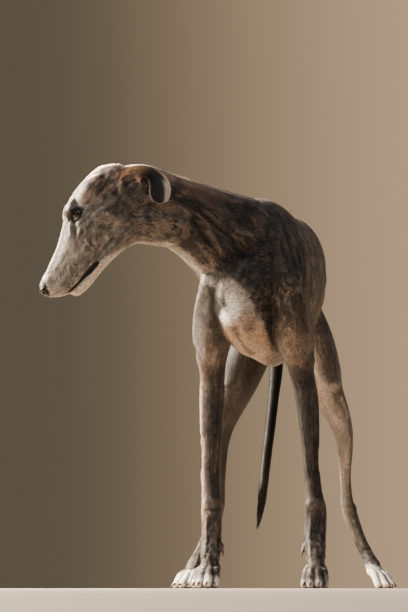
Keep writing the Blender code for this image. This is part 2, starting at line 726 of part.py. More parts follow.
def paw(label, base, heading, leg_rows, sideways, cut_height):
    """A paw with its claws: four toes in an arc, the pads below them and the end of the leg."""
    ahead = Vector((math.sin(heading), -math.cos(heading), 0))
    aside = Vector((math.cos(heading), math.sin(heading), 0))
    base = Vector((*base, 0))
    pieces, claws = [], []
    for number, (spread, reach, fan) in enumerate(zip(TOE_SPREAD, TOE_REACH, TOE_FAN)):
        way = ahead * math.cos(fan) + aside * math.sin(fan)
        root = base + aside * spread * 0.72 + ahead * TOE_ROOT[0]
        knuckle = base + aside * spread + way * reach * TOE_KNUCKLE_AT
        tip = base + aside * spread + way * reach
        rows = (
            (root.x, root.y, TOE_ROOT[1], TOE_ROOT[2]),
            (knuckle.x, knuckle.y, TOE_KNUCKLE_HEIGHT, TOE_KNUCKLE_RADIUS),
            (tip.x, tip.y, TOE_TIP_RADIUS - PAD_SINK, TOE_TIP_RADIUS),
        )
        pieces.append(chain("toe", rows))
        claw_root = tip + way * TOE_TIP_RADIUS * 0.45 + Vector((0, 0, TOE_TIP_RADIUS + CLAW_HEIGHT))
        claws.append(claw(claw_root, way, f"claw_{label}_{number + 1}"))
    turn = columns(aside, ahead, Vector((0, 0, 1)))
    heel = base - ahead * HEEL_PAD_BACK
    pieces.append(ball("heel_pad", (heel.x, heel.y, HEEL_PAD - PAD_SINK), HEEL_PAD, (1.2, 1.0, 1.0), turn))
    pieces.append(tube("leg_end", leg_rows, sideways))
    instep = base - ahead * 0.004
    last = leg_rows[-1]
    width = [last[3] * share for share in INSTEP_WIDTH]
    pieces.append(chain("instep", ((*last[:3], width[0]), (instep.x, instep.y, INSTEP_HEIGHT, width[1]))))
    if label in DEWCLAWS:
        place, way = DEWCLAWS[label]
        pieces.append(ball("dewclaw_toe", place, 0.0058, (1, 1, 1.5)))
        claws.append(claw(Vector(place) + Vector(way) * 0.002, Vector(way).normalized(), f"claw_{label}_5"))
    flesh = blended("paw_" + label, pieces, FINE_VOXEL, 2, PAW_TRIANGLES)
    flesh = sheared(flesh, (0, 0, FLOOR), (0, 0, 1))
    flesh = sheared(flesh, (0, 0, cut_height - GAP / 2), (0, 0, -1))
    flesh = carved(flesh, [inflated(one, GAP) for one in claws])
    return [loose_parts(flesh)[0], *claws]


def hind_point(side, out, back, z):
    """A point of a hind leg: the pelvis is turned with the spine at the hips."""
    scale = 1 / math.hypot(HIPS_SLOPE, 1)
    behind, aside = Vector((HIPS_SLOPE, 1, 0)) * scale, Vector((1, -HIPS_SLOPE, 0)) * scale
    if side < 0:
        out += RIGHT_THIGH * math.exp(-(((z - 0.45) / 0.05) ** 2))
    centre = Vector((spine_x(HIPS_AT), HIPS_AT, z))
    return centre + aside * (side * out) + behind * back


def hind_way(side, out, back, up):
    """A direction of a hind leg, mirrored on the right."""
    return hind_point(side, out, back, up + 1) - hind_point(side, 0, 0, 1)


def hind_rows(side):
    """Sections of one hind leg, and the direction across the first."""
    rows = [(*hind_point(side, o, b, z), a, d, side * t) for o, b, z, a, d, t in HIND_LEG]
    return rows, tuple(hind_way(1, 1, 0, 0))


def body_nodes():
    """The trunk, neck, legs and tail, parted from one skin."""
    pieces = [trunk_body(), tube("neck", NECK, (0, 0, 1)), chain("tail", TAIL, RING, 2)]
    pieces += [tube("foreleg", rows, ACROSS) for rows in (FORELEG_LEFT, FORELEG_RIGHT)]
    plates = [slab(*NECK_CUT), slab(*THROAT_CUT), slab(*TAIL_CUT)]
    for rows in (FORELEG_LEFT, FORELEG_RIGHT):
        x, y = rows[5][:2]
        plates.append(slab((x, y + 0.01, ELBOW_CUT_HEIGHT), (0, 0, 1), 0.115))
        x, y = rows[10][:2]
        plates.append(slab((x, y, CARPUS_CUT_HEIGHT), (0, 0, 1), 0.07))
        x, y = rows[13][:2]
        plates.append(slab((x, y, FORE_PAW_CUT_HEIGHT), (0, 0, 1), 0.07))
    for side in (1, -1):
        rows, across = hind_rows(side)
        pieces.append(tube("hind_leg", rows, across))
        for part in (HEEL, TENDON, WEB):
            pieces.append(chain("heel", [(*hind_point(side, o, b, z), r) for o, b, z, r in part]))
        for centre, way, size in (GROIN_CUT, KNEE_CUT, HOCK_CUT):
            plates.append(slab(hind_point(side, *centre), hind_way(side, *way), size))
        x, y = rows[14][:2]
        plates.append(slab((x, y, HIND_PAW_CUT_HEIGHT), (0, 0, 1), 0.08))
    body = blended("body", pieces, BODY_VOXEL, 5, BODY_TRIANGLES)
    parts = loose_parts(carved(body, plates))
    nodes = []
    for name, place in body_places().items():
        nearest = min(parts, key=lambda part: (middle(part) - Vector(place)).length)
        parts.remove(nearest)
        if name.startswith("spare"):
            bpy.data.objects.remove(nearest)
            continue
        nearest.name = name
        nodes.append(nearest)
    return nodes


def body_places():
    """About where the middle of each piece of the body is."""
    places = {
        "torso": (0.005, 0.25, 0.58),
        "neck": (-0.07, -0.12, 0.62),
        "tail": (-0.055, 0.70, 0.36),
        "spare_throat": (-0.150, -0.183, 0.642),
    }
    for side, label, rows in ((1, "left", FORELEG_LEFT), (-1, "right", FORELEG_RIGHT)):
        places[f"foreleg_{label}"] = (*rows[8][:2], 0.29)
        places[f"wrist_{label}"] = (*rows[12][:2], 0.12)
        places[f"spare_fore_{label}"] = (*rows[14][:2], 0.06)
        places[f"thigh_{label}"] = hind_point(side, 0.08, -0.03, 0.46)
        places[f"shank_{label}"] = hind_point(side, 0.128, 0.03, 0.27)
        places[f"hock_{label}"] = hind_point(side, 0.140, 0.085, 0.14)
        places[f"spare_hind_{label}"] = hind_point(side, 0.180, 0.068, 0.05)
    return places


def material(name, colour, roughness):
    """A plain finish for one kind of surface."""
    made = bpy.data.materials.new(name)
    made.use_nodes = True
    shader = made.node_tree.nodes["Principled BSDF"]
    shader.inputs["Base Color"].default_value = (*colour, 1)
    shader.inputs["Roughness"].default_value = roughness
    shader.inputs["Metallic"].default_value = 0.0
    return made


def finish(nodes):
    """Gives every node its finish, moves it over its foot print and puts it in the object's collection."""
    home = bpy.data.collections.new("greyhound")
    bpy.context.scene.collection.children.link(home)
    plain = {kind: material(kind, colour, rough) for kind, (colour, rough) in FINISHES.items()}
    for node in nodes:
        kind = next((k for k in FINISHES if node.name.startswith(k)), "coat")
        node.data.materials.clear()
        node.data.materials.append(plain[kind])
        node.data.transform(Matrix.Translation(STANCE_SHIFT))
        moved(node, home)


def main():
    """Builds the dog."""
    for thing in list(bpy.data.objects):
        bpy.data.objects.remove(thing)
    cutters = bpy.data.collections.new("cutters")
    bpy.context.scene.collection.children.link(cutters)
    nodes = body_nodes() + head_nodes()
    head, neck = (next(node for node in nodes if node.name == name) for name in ("head", "neck"))
    nodes += [ear(1, head, neck), ear(-1, head, neck)]
    for label, (base, heading, rows) in FORE_PAWS.items():
        nodes += paw(label, base, heading, rows[-4:], ACROSS, FORE_PAW_CUT_HEIGHT)
    for side, label in ((1, "hind_left"), (-1, "hind_right")):
        rows, across = hind_rows(side)
        base = hind_point(side, *HIND_PAW_AT, 0)
        heading = side * HIND_PAW_TURN - math.atan(HIPS_SLOPE)
        nodes += paw(label, base[:2], heading, rows[-4:], across, HIND_PAW_CUT_HEIGHT)
    finish(nodes)


main()
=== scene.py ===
"""Looks of a life-size greyhound model that stands with its head turned to its right.

One skin is melted from the same named sizes as the solids, then relief for muscles, tendons, ribs, folds
and the face is pushed into it. The coat is short: the skin's bump carries it, and joined tufts break the
outline on every side. Sizes are in metres. The dog is worked out round a point under its shoulders, and
STANCE brings it to the origin, as in the solids.
"""

import logging
import math
from dataclasses import dataclass, field
from enum import Enum
from itertools import product
from typing import ClassVar, Iterable, Sequence

import bpy
import numpy as np
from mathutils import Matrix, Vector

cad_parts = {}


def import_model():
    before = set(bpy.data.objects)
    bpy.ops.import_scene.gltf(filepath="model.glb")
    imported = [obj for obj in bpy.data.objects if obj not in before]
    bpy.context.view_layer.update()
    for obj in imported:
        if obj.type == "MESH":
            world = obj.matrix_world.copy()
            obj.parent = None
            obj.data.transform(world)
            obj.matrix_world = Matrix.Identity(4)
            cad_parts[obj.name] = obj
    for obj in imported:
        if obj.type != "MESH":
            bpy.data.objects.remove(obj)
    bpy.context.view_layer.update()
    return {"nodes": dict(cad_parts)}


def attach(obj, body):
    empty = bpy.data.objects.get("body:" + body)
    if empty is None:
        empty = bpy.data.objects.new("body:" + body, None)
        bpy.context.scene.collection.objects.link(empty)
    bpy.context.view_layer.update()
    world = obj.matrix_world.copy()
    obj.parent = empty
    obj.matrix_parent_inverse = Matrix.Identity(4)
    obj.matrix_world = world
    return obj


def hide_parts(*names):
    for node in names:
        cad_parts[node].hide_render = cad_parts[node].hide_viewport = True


Array = np.ndarray
log = logging.getLogger("greyhound")

STANCE = np.array((0.0571, -0.2349, 0.0))


class Side(Enum):
    """The dog's own left and right."""

    LEFT = 1
    RIGHT = -1

    @property
    def label(self) -> str:
        """The word that node names use."""
        return self.name.lower()


def hex_linear(code: str) -> tuple[float, float, float]:
    """Turns an sRGB hex colour to linear light.

    Args:
        code: six hex digits after a hash.

    Returns:
        Red, green and blue from 0 to 1.
    """
    parts = [int(code[i : i + 2], 16) / 255 for i in (1, 3, 5)]
    red, green, blue = (c / 12.92 if c <= 0.04045 else ((c + 0.055) / 1.055) ** 2.4 for c in parts)
    return red, green, blue


def opaque(code: str) -> tuple[float, float, float, float]:
    """A hex colour as a shader socket takes it: linear, with nothing let through."""
    return (*hex_linear(code), 1)


def ease(low: float, high: float, value: Array) -> Array:
    """A soft step from 0 at low to 1 at high: 3t² - 2t³."""
    t = np.clip((value - low) / (high - low), 0, 1)
    return t * t * (3 - 2 * t)


def unit(v: Array) -> Array:
    """Vectors of length one."""
    v = np.asarray(v, float)
    return v / np.maximum(np.linalg.norm(v, axis=-1, keepdims=True), 1e-12)


def mix(first: Array, second: Array, share: Array) -> Array:
    """Blends two values: first (1 - share) + second share."""
    return first * (1 - share) + second * share


def round_turn(count: int) -> Array:
    """Angles of a full turn in equal steps, without the last."""
    return np.linspace(0, 2 * math.pi, count, endpoint=False)


def smooth_rows(rows: Sequence, between: int) -> Array:
    """Rows on a Catmull-Rom curve: each added row mixes its four neighbours by cubic weights.

    Args:
        rows: named sections, one row each.
        between: how many rows are added between two.

    Returns:
        The closer rows.
    """
    rows = np.asarray(rows, float)
    ends = np.vstack([2 * rows[0] - rows[1], rows, 2 * rows[-1] - rows[-2]])
    t = (np.arange(between + 1) / (between + 1))[None, :, None]
    a, b, c, d = (ends[i : i + len(rows) - 1, None] for i in range(4))
    mid = 0.5 * (2 * b + (c - a) * t + (2 * a - 5 * b + 4 * c - d) * t**2 + (3 * b - a - 3 * c + d) * t**3)
    return np.vstack([mid.reshape(-1, rows.shape[1]), rows[-1:]])


def lattice_noise(points: Array, seed: int) -> Array:
    """Smooth noise from 0 to 1: a random value at each whole place, eased between its eight neighbours.

    Args:
        points: places, N by 3.
        seed: picks the set of random values.

    Returns:
        One value a place.
    """
    cell = np.floor(points).astype(np.int64)
    part = points - cell
    part = part * part * (3 - 2 * part)
    total = np.zeros(len(points))
    for corner in product((0, 1), repeat=3):
        key = (cell + corner) @ np.array((73856093, 19349663, 83492791)) + seed * 2654435761
        key = (key ^ (key >> 13)) & 0x7FFFFFFF
        key = (key * ((key * key * 15731 + 789221) & 0x7FFFFFFF) + 1376312589) & 0x7FFFFFFF
        weight = np.prod(np.where(np.array(corner, bool), part, 1 - part), axis=1)
        total += weight * key / 0x7FFFFFFF
    return total


def layered_noise(points: Array, seed: int, layers: int = 3) -> Array:
    """Noise at several scales, each twice as fine and half as strong as the one before."""
    shares = [0.5**i for i in range(layers)]
    return sum(s * lattice_noise(points * 2**i, seed + i) for i, s in enumerate(shares)) / sum(shares)


def line_distance(points: Array, line: Array) -> Array:
    """Distance of each point to a line through places: the least over its straight stretches."""
    best = np.full(len(points), np.inf)
    for a, b in zip(line[:-1], line[1:]):
        way = b - a
        t = np.clip((points - a) @ way / max(way @ way, 1e-12), 0, 1)
        best = np.minimum(best, np.linalg.norm(points - a - t[:, None] * way, axis=1))
    return best


@dataclass
class Shell:
    """Points with blocks of faces, each block with one corner count."""

    points: Array
    faces: list[Array]

    def volume(self) -> float:
        """Six times the volume inside: the sum of each face fan's corner products."""
        total = 0.0
        for block in self.faces:
            for k in range(1, block.shape[1] - 1):
                a, b, c = (self.points[block[:, i]] for i in (0, k, k + 1))
                total += float(np.einsum("ij,ij->", a, np.cross(b, c)))
        return total

    def outward(self) -> "Shell":
        """The same shell with its faces turned outwards."""
        if self.volume() < 0:
            self.faces = [block[:, ::-1].copy() for block in self.faces]
        return self

    def mesh(self, name: str) -> bpy.types.Mesh:
        """A Blender mesh of the shell, moved by STANCE.

        Args:
            name: the mesh's name.

        Returns:
            The mesh, shaded smooth.
        """
        made = bpy.data.meshes.new(name)
        corners = np.concatenate([block.ravel() for block in self.faces]).astype(np.int32)
        counts = np.concatenate([np.full(len(block), block.shape[1]) for block in self.faces])
        starts = np.concatenate([[0], np.cumsum(counts)[:-1]]).astype(np.int32)
        made.vertices.add(len(self.points))
        made.vertices.foreach_set("co", (self.points + STANCE).astype(np.float32).ravel())
        made.loops.add(len(corners))
        made.loops.foreach_set("vertex_index", corners)
        made.polygons.add(len(starts))
        made.polygons.foreach_set("loop_start", starts)
        made.update(calc_edges=True)
        made.validate()
        made.shade_smooth()
        return made


def joined(shells: Iterable[Shell]) -> Shell:
    """Several shells as one, with the faces grouped by corner count."""
    points, blocks, start = [], {}, 0
    for shell in shells:
        points.append(shell.points)
        for block in shell.faces:
            blocks.setdefault(block.shape[1], []).append(block + start)
        start += len(shell.points)
    return Shell(np.vstack(points), [np.vstack(group) for group in blocks.values()])


def loft(rings: Array) -> Shell:
    """A closed skin through rings of points: a grid round and along, with a fan to the middle of each end."""
    count, around = rings.shape[:2]
    points = np.vstack([rings.reshape(-1, 3), rings[0].mean(0), rings[-1].mean(0)])
    j = np.arange(around)
    k = (j + 1) % around
    row = (np.arange(count - 1) * around)[:, None]
    quads = np.stack([row + j, row + k, row + around + k, row + around + j], -1).reshape(-1, 4)
    last = (count - 1) * around
    first_fan = np.stack([np.full(around, count * around), k, j], 1)
    last_fan = np.stack([np.full(around, count * around + 1), last + j, last + k], 1)
    return Shell(points, [quads, np.vstack([first_fan, last_fan])]).outward()


def tube(rows: Sequence, sideways: Sequence[float], around: int = 40, between: int = 8) -> Shell:
    """A tube whose section at each centre is an oval: centre + a cos(t) side + b sin(t) other.

    Args:
        rows: centre, half size across, half size front to back, and the section's turn in degrees if any.
        sideways: direction that the first half size follows.
        around: points round a section.
        between: rows added between two.

    Returns:
        The closed tube.
    """
    rows = smooth_rows(rows, between)
    along = unit(np.gradient(rows[:, :3], axis=0))
    wanted = np.broadcast_to(np.asarray(sideways, float), (len(rows), 3))
    if rows.shape[1] > 5:
        turn = np.radians(rows[:, 5:6])
        wanted = np.cos(turn) * wanted + np.sin(turn) * np.cross((0, 0, 1), wanted)
    side = unit(wanted - (along * wanted).sum(1, keepdims=True) * along)
    other = np.cross(along, side)
    t = round_turn(around)[None, :, None]
    half_a, half_b = rows[:, 3, None, None], rows[:, 4, None, None]
    return loft(rows[:, None, :3] + half_a * np.cos(t) * side[:, None] + half_b * np.sin(t) * other[:, None])


def chain(rows: Sequence, around: int = 32, between: int = 6) -> Shell:
    """A tapered limb through centres with radii, and a ball's cap at each end: r sqrt(1 - c²) at c r out."""
    rows = np.asarray(rows, float)
    caps = np.array((0.97, 0.78, 0.45))
    start, end = unit(rows[0, :3] - rows[1, :3]), unit(rows[-1, :3] - rows[-2, :3])
    out, wide = caps[:, None], np.sqrt(1 - caps**2)
    head = np.column_stack([rows[0, :3] + out * rows[0, 3] * start, rows[0, 3] * wide])
    foot = np.column_stack([rows[-1, :3] + out * rows[-1, 3] * end, rows[-1, 3] * wide])
    full = np.vstack([head, smooth_rows(rows, between), foot[::-1]])
    side = (0.9, 0.1, 0.2) if abs(end[0]) < 0.8 else (0.1, 0.9, 0.2)
    return tube(np.column_stack([full, full[:, 3]]), side, around, 0)


def ball(centre: Array, radius: float, scale: Sequence[float] = (1, 1, 1), turn: Array | None = None) -> Shell:
    """A stretched and turned ball: a grid of latitude and longitude.

    Args:
        centre: its middle.
        radius: before it is stretched.
        scale: stretch along its own three directions.
        turn: those directions as columns.

    Returns:
        The closed ball.
    """
    v = np.linspace(0.06, math.pi - 0.06, 24)[:, None]
    u = round_turn(36)[None]
    grid = np.stack([np.sin(v) * np.cos(u), np.sin(v) * np.sin(u), np.cos(v) + 0 * u], -1)
    grid = grid * radius * np.asarray(scale)
    return loft(grid @ (np.eye(3) if turn is None else turn.T) + np.asarray(centre))


@dataclass(frozen=True)
class HeadFrame:
    """The head's own directions: back from the tip of the nose, up over it, and to the dog's left."""

    nose_tip: tuple[float, float, float] = (-0.3264, -0.2357, 0.4932)
    turned: float = math.radians(75.0)
    pitched: float = math.radians(52.0)

    @property
    def axes(self) -> Array:
        """Rows: backward, up and left."""
        level = np.array((-math.sin(self.turned), -math.cos(self.turned), 0.0))
        left = np.array((-level[1], level[0], 0.0))
        forward = level * math.cos(self.pitched) - np.array((0, 0, math.sin(self.pitched)))
        return np.stack([-forward, np.cross(forward, left), left])

    def at(self, back: Array | float, up: Array | float, left: Array | float = 0.0) -> Array:
        """A place by its distance behind the nose tip, above it and to the left."""
        spot = np.stack(np.broadcast_arrays(back, up, left), -1)
        return np.array(self.nose_tip) + spot @ self.axes

    def level(self, behind: Array, high: Array, left: Array) -> Array:
        """A place by its level distance behind the nose tip, its height over it and its place to the left."""
        c, s = math.cos(self.pitched), math.sin(self.pitched)
        return self.at(behind * c + high * s, high * c - behind * s, left)

    def local(self, points: Array) -> Array:
        """Back, up and left of each point."""
        return (points - np.array(self.nose_tip)) @ self.axes.T

    def way(self, forward: float, left: float, up: float) -> Array:
        """A direction in the head's own terms."""
        return unit(np.array((-forward, up, left)) @ self.axes)


HEAD = HeadFrame()


@dataclass(frozen=True)
class Trunk:
    """Barrel sections: place along the body, back height, belly height and half width."""

    sections: tuple = (
        (-0.128, 0.520, 0.448, 0.022),
        (-0.112, 0.560, 0.428, 0.042),
        (-0.075, 0.622, 0.412, 0.062),
        (-0.020, 0.668, 0.405, 0.076),
        (0.040, 0.694, 0.402, 0.084),
        (0.120, 0.694, 0.401, 0.089),
        (0.200, 0.700, 0.407, 0.091),
        (0.280, 0.714, 0.428, 0.090),
        (0.340, 0.721, 0.458, 0.084),
        (0.400, 0.720, 0.494, 0.074),
        (0.460, 0.713, 0.522, 0.067),
        (0.520, 0.700, 0.528, 0.070),
        (0.580, 0.678, 0.515, 0.072),
        (0.630, 0.648, 0.518, 0.062),
        (0.668, 0.612, 0.535, 0.044),
        (0.688, 0.586, 0.550, 0.022),
    )
    widest: float = 0.40
    keel: float = 1.32
    crown: float = 0.95
    bow: tuple[float, float, float] = (0.016, 0.29, 0.186)
    hips_shift: tuple[float, float, float] = (0.014, 0.33, 0.23)

    def spine_x(self, y: Array | float) -> Array:
        """Sideways place of the spine: a shallow parabola, less an eased step at the hips."""
        out, at, curve = self.bow
        shift, start, over = self.hips_shift
        y = np.asarray(y, float)
        return out - curve * (y - at) ** 2 - shift * ease(start, start + over, y)

    def at(self, y: Array, angle: Array) -> Array:
        """A place on the barrel: an egg-shaped section, widest below the back and drawn in to a keel.

        Args:
            y: place along the body.
            angle: round the section from the dog's left, 90 degrees at the back, in radians.

        Returns:
            The places.
        """
        rows = smooth_rows(self.sections, 8)
        top, bottom, half = (np.interp(y, rows[:, 0], rows[:, k]) for k in (1, 2, 3))
        c, s = np.cos(angle), np.sin(angle)
        middle = top - self.widest * (top - bottom)
        side = np.sign(c) * np.abs(c) ** np.where(s < 0, self.keel, self.crown)
        height = np.where(s > 0, (top - middle) * s, (middle - bottom) * s)
        return np.stack([self.spine_x(y) + half * side, y + 0 * side, middle + height], -1)

    def shell(self) -> Shell:
        """The barrel as a closed loft."""
        y = smooth_rows(self.sections, 8)[:, 0]
        angle = round_turn(72)
        return loft(self.at(y[:, None], angle[None]))

    def centre_line(self) -> Array:
        """Middle of the sections with their mean radius."""
        rows = smooth_rows(self.sections, 1)
        y, top, bottom, half = rows.T
        return np.column_stack([self.spine_x(y), y, (top + bottom) / 2, (half + (top - bottom) / 2) / 2])


TRUNK = Trunk()


@dataclass(frozen=True)
class Neck:
    """Neck sections: centre, half height and half width."""

    sections: tuple = (
        (0.010, 0.045, 0.566, 0.112, 0.058),
        (-0.014, -0.030, 0.586, 0.101, 0.062),
        (-0.046, -0.082, 0.6055, 0.0825, 0.057),
        (-0.080, -0.124, 0.6215, 0.0695, 0.051),
        (-0.112, -0.155, 0.6340, 0.0630, 0.046),
        (-0.142, -0.178, 0.6380, 0.0600, 0.043),
        (-0.168, -0.191, 0.6350, 0.0510, 0.039),
    )

    def shell(self) -> Shell:
        """The neck as a closed tube."""
        return tube(self.sections, (0, 0, 1), 56)

    def at(self, share: float, degrees: float) -> Array:
        """A place on the neck's surface.

        Args:
            share: 0 at the shoulders and 1 behind the head.
            degrees: round the section from the top towards the dog's left.

        Returns:
            The place.
        """
        rows = smooth_rows(self.sections, 8)
        along = unit(np.gradient(rows[:, :3], axis=0))
        up = unit(np.array((0, 0, 1.0)) - along[:, 2:3] * along)
        left = np.cross(along, up)
        left *= np.sign(left[:, :1])
        t = np.array(math.radians(degrees))
        ring = rows[:, :3] + rows[:, 3:4] * np.cos(t) * up + rows[:, 4:5] * np.sin(t) * left
        place = share * (len(rows) - 1)
        return np.array([np.interp(place, np.arange(len(rows)), ring[:, k]) for k in range(3)])


NECK = Neck()


@dataclass(frozen=True)
class Leg:
    """A leg as sections of centre, half width across, half depth and turn in degrees."""

    side: Side
    sections: tuple
    across: tuple[float, float, float]

    def shell(self) -> Shell:
        """The leg as a closed tube."""
        return tube(self.sections, self.across, 48)

    def at(self, z: float, out: float, ahead: float) -> Array:
        """A place by its height, half widths away from the dog's middle and half depths forward."""
        rows = np.asarray(self.sections, float)[::-1]
        x, y, a, b = (float(np.interp(z, rows[:, 2], rows[:, k])) for k in (0, 1, 3, 4))
        turn = math.radians(float(np.interp(z, rows[:, 2], rows[:, 5]))) if rows.shape[1] > 5 else 0.0
        across = unit(np.array(self.across))
        back = np.cross((0, 0, 1), across)
        way = math.cos(turn) * across + math.sin(turn) * back
        rear = np.cross((0, 0, 1), way)
        return np.array((x, y, z)) + way * (self.side.value * out * a) - rear * (ahead * b)


@dataclass(frozen=True)
class HindPose:
    """Where the pelvis carries a hind leg, and how much broader the right thigh is."""

    hips: float = 0.600
    slope: float = -0.115
    right_thigh: float = 0.005
    legs: tuple = (
        (0.026, -0.010, 0.640, 0.026, 0.060, 0),
        (0.034, -0.018, 0.595, 0.034, 0.076, 0),
        (0.049, -0.026, 0.535, 0.040, 0.084, 2),
        (0.062, -0.034, 0.487, 0.043, 0.080, 4),
        (0.074, -0.040, 0.445, 0.040, 0.068, 8),
        (0.088, -0.040, 0.408, 0.034, 0.056, 12),
        (0.108, -0.028, 0.366, 0.0275, 0.044, 16),
        (0.122, -0.010, 0.330, 0.0215, 0.036, 20),
        (0.1285, 0.010, 0.292, 0.0160, 0.0290, 22),
        (0.1300, 0.036, 0.250, 0.0120, 0.0210, 24),
        (0.1320, 0.060, 0.212, 0.0115, 0.0170, 25),
        (0.1350, 0.078, 0.180, 0.0130, 0.0190, 26),
        (0.1430, 0.086, 0.148, 0.0152, 0.0185, 28),
        (0.1580, 0.084, 0.108, 0.0138, 0.0150, 28),
        (0.1750, 0.076, 0.070, 0.0145, 0.0140, 28),
        (0.1870, 0.064, 0.045, 0.0175, 0.0150, 28),
    )
    heel: tuple = ((0.136, 0.082, 0.160, 0.0115), (0.1345, 0.106, 0.188, 0.0075))
    tendon: tuple = (
        (0.121, 0.024, 0.315, 0.0110),
        (0.128, 0.062, 0.262, 0.0060),
        (0.134, 0.101, 0.192, 0.0058),
    )
    web: tuple = (
        (0.1265, 0.054, 0.268, 0.0062),
        (0.1290, 0.069, 0.235, 0.0066),
        (0.1315, 0.080, 0.212, 0.0070),
        (0.1340, 0.088, 0.190, 0.0075),
    )

    def at(self, side: Side, out: float, back: float, z: float) -> Array:
        """A place of a hind leg, out from the pelvis and back from the hips."""
        scale = 1 / math.hypot(self.slope, 1)
        if side is Side.RIGHT:
            out += self.right_thigh * math.exp(-(((z - 0.45) / 0.05) ** 2))
        aside = np.array((1, -self.slope, 0)) * scale * side.value * out
        behind = np.array((self.slope, 1, 0)) * scale * back
        return np.array((float(TRUNK.spine_x(self.hips)), self.hips, z)) + aside + behind

    @property
    def across(self) -> tuple[float, float, float]:
        """Sideways direction of the pelvis, to the dog's left."""
        return tuple(self.at(Side.LEFT, 1, 0, 1) - self.at(Side.LEFT, 0, 0, 1))

    def leg(self, side: Side) -> Leg:
        """One hind leg in the pelvis's place."""
        rows = tuple((*self.at(side, o, b, z), a, d, side.value * t) for o, b, z, a, d, t in self.legs)
        return Leg(side, rows, self.across)


HIND = HindPose()
FORELEGS = {
    Side.LEFT: Leg(
        Side.LEFT,
        (
            (0.018, 0.040, 0.664, 0.012, 0.024),
            (0.028, 0.010, 0.630, 0.024, 0.042),
            (0.047, -0.020, 0.570, 0.031, 0.052),
            (0.059, -0.030, 0.505, 0.035, 0.055),
            (0.072, 0.005, 0.450, 0.034, 0.054),
            (0.079, 0.045, 0.405, 0.027, 0.042),
            (0.0815, 0.062, 0.372, 0.0215, 0.0330),
            (0.0890, 0.062, 0.330, 0.0207, 0.0265),
            (0.0948, 0.058, 0.260, 0.0170, 0.0205),
            (0.0976, 0.055, 0.205, 0.0157, 0.0162),
            (0.1010, 0.052, 0.165, 0.0166, 0.0158),
            (0.1035, 0.050, 0.140, 0.0208, 0.0178),
            (0.1044, 0.050, 0.118, 0.0203, 0.0155),
            (0.1030, 0.045, 0.085, 0.0203, 0.0142),
            (0.1050, 0.036, 0.052, 0.0182, 0.0152),
        ),
        (1, 0.1, 0),
    ),
    Side.RIGHT: Leg(
        Side.RIGHT,
        (
            (-0.008, 0.032, 0.664, 0.012, 0.024),
            (-0.020, -0.015, 0.630, 0.024, 0.042),
            (-0.036, -0.050, 0.570, 0.031, 0.052),
            (-0.050, -0.068, 0.505, 0.034, 0.055),
            (-0.064, -0.040, 0.450, 0.033, 0.053),
            (-0.069, -0.008, 0.405, 0.027, 0.042),
            (-0.0705, 0.004, 0.372, 0.0225, 0.0330),
            (-0.0705, 0.004, 0.330, 0.0220, 0.0265),
            (-0.0723, -0.002, 0.260, 0.0186, 0.0205),
            (-0.0731, -0.008, 0.205, 0.0175, 0.0162),
            (-0.0705, -0.012, 0.165, 0.0175, 0.0158),
            (-0.0690, -0.015, 0.140, 0.0195, 0.0178),
            (-0.0688, -0.016, 0.118, 0.0188, 0.0155),
            (-0.0690, -0.021, 0.085, 0.0185, 0.0140),
            (-0.0695, -0.030, 0.052, 0.0182, 0.0152),
        ),
        (1, 0.1, 0),
    ),
}
HINDLEGS = {side: HIND.leg(side) for side in Side}
TAIL = (
    (-0.022, 0.640, 0.612, 0.0200),
    (-0.028, 0.674, 0.590, 0.0175),
    (-0.0350, 0.701, 0.550, 0.0160),
    (-0.0385, 0.713, 0.505, 0.0155),
    (-0.0418, 0.714, 0.455, 0.0150),
    (-0.0473, 0.708, 0.400, 0.0130),
    (-0.0533, 0.700, 0.340, 0.0123),
    (-0.0600, 0.690, 0.280, 0.0120),
    (-0.0655, 0.680, 0.220, 0.0114),
    (-0.0690, 0.674, 0.180, 0.0100),
    (-0.0735, 0.670, 0.150, 0.0074),
    (-0.0765, 0.667, 0.128, 0.0038),
)


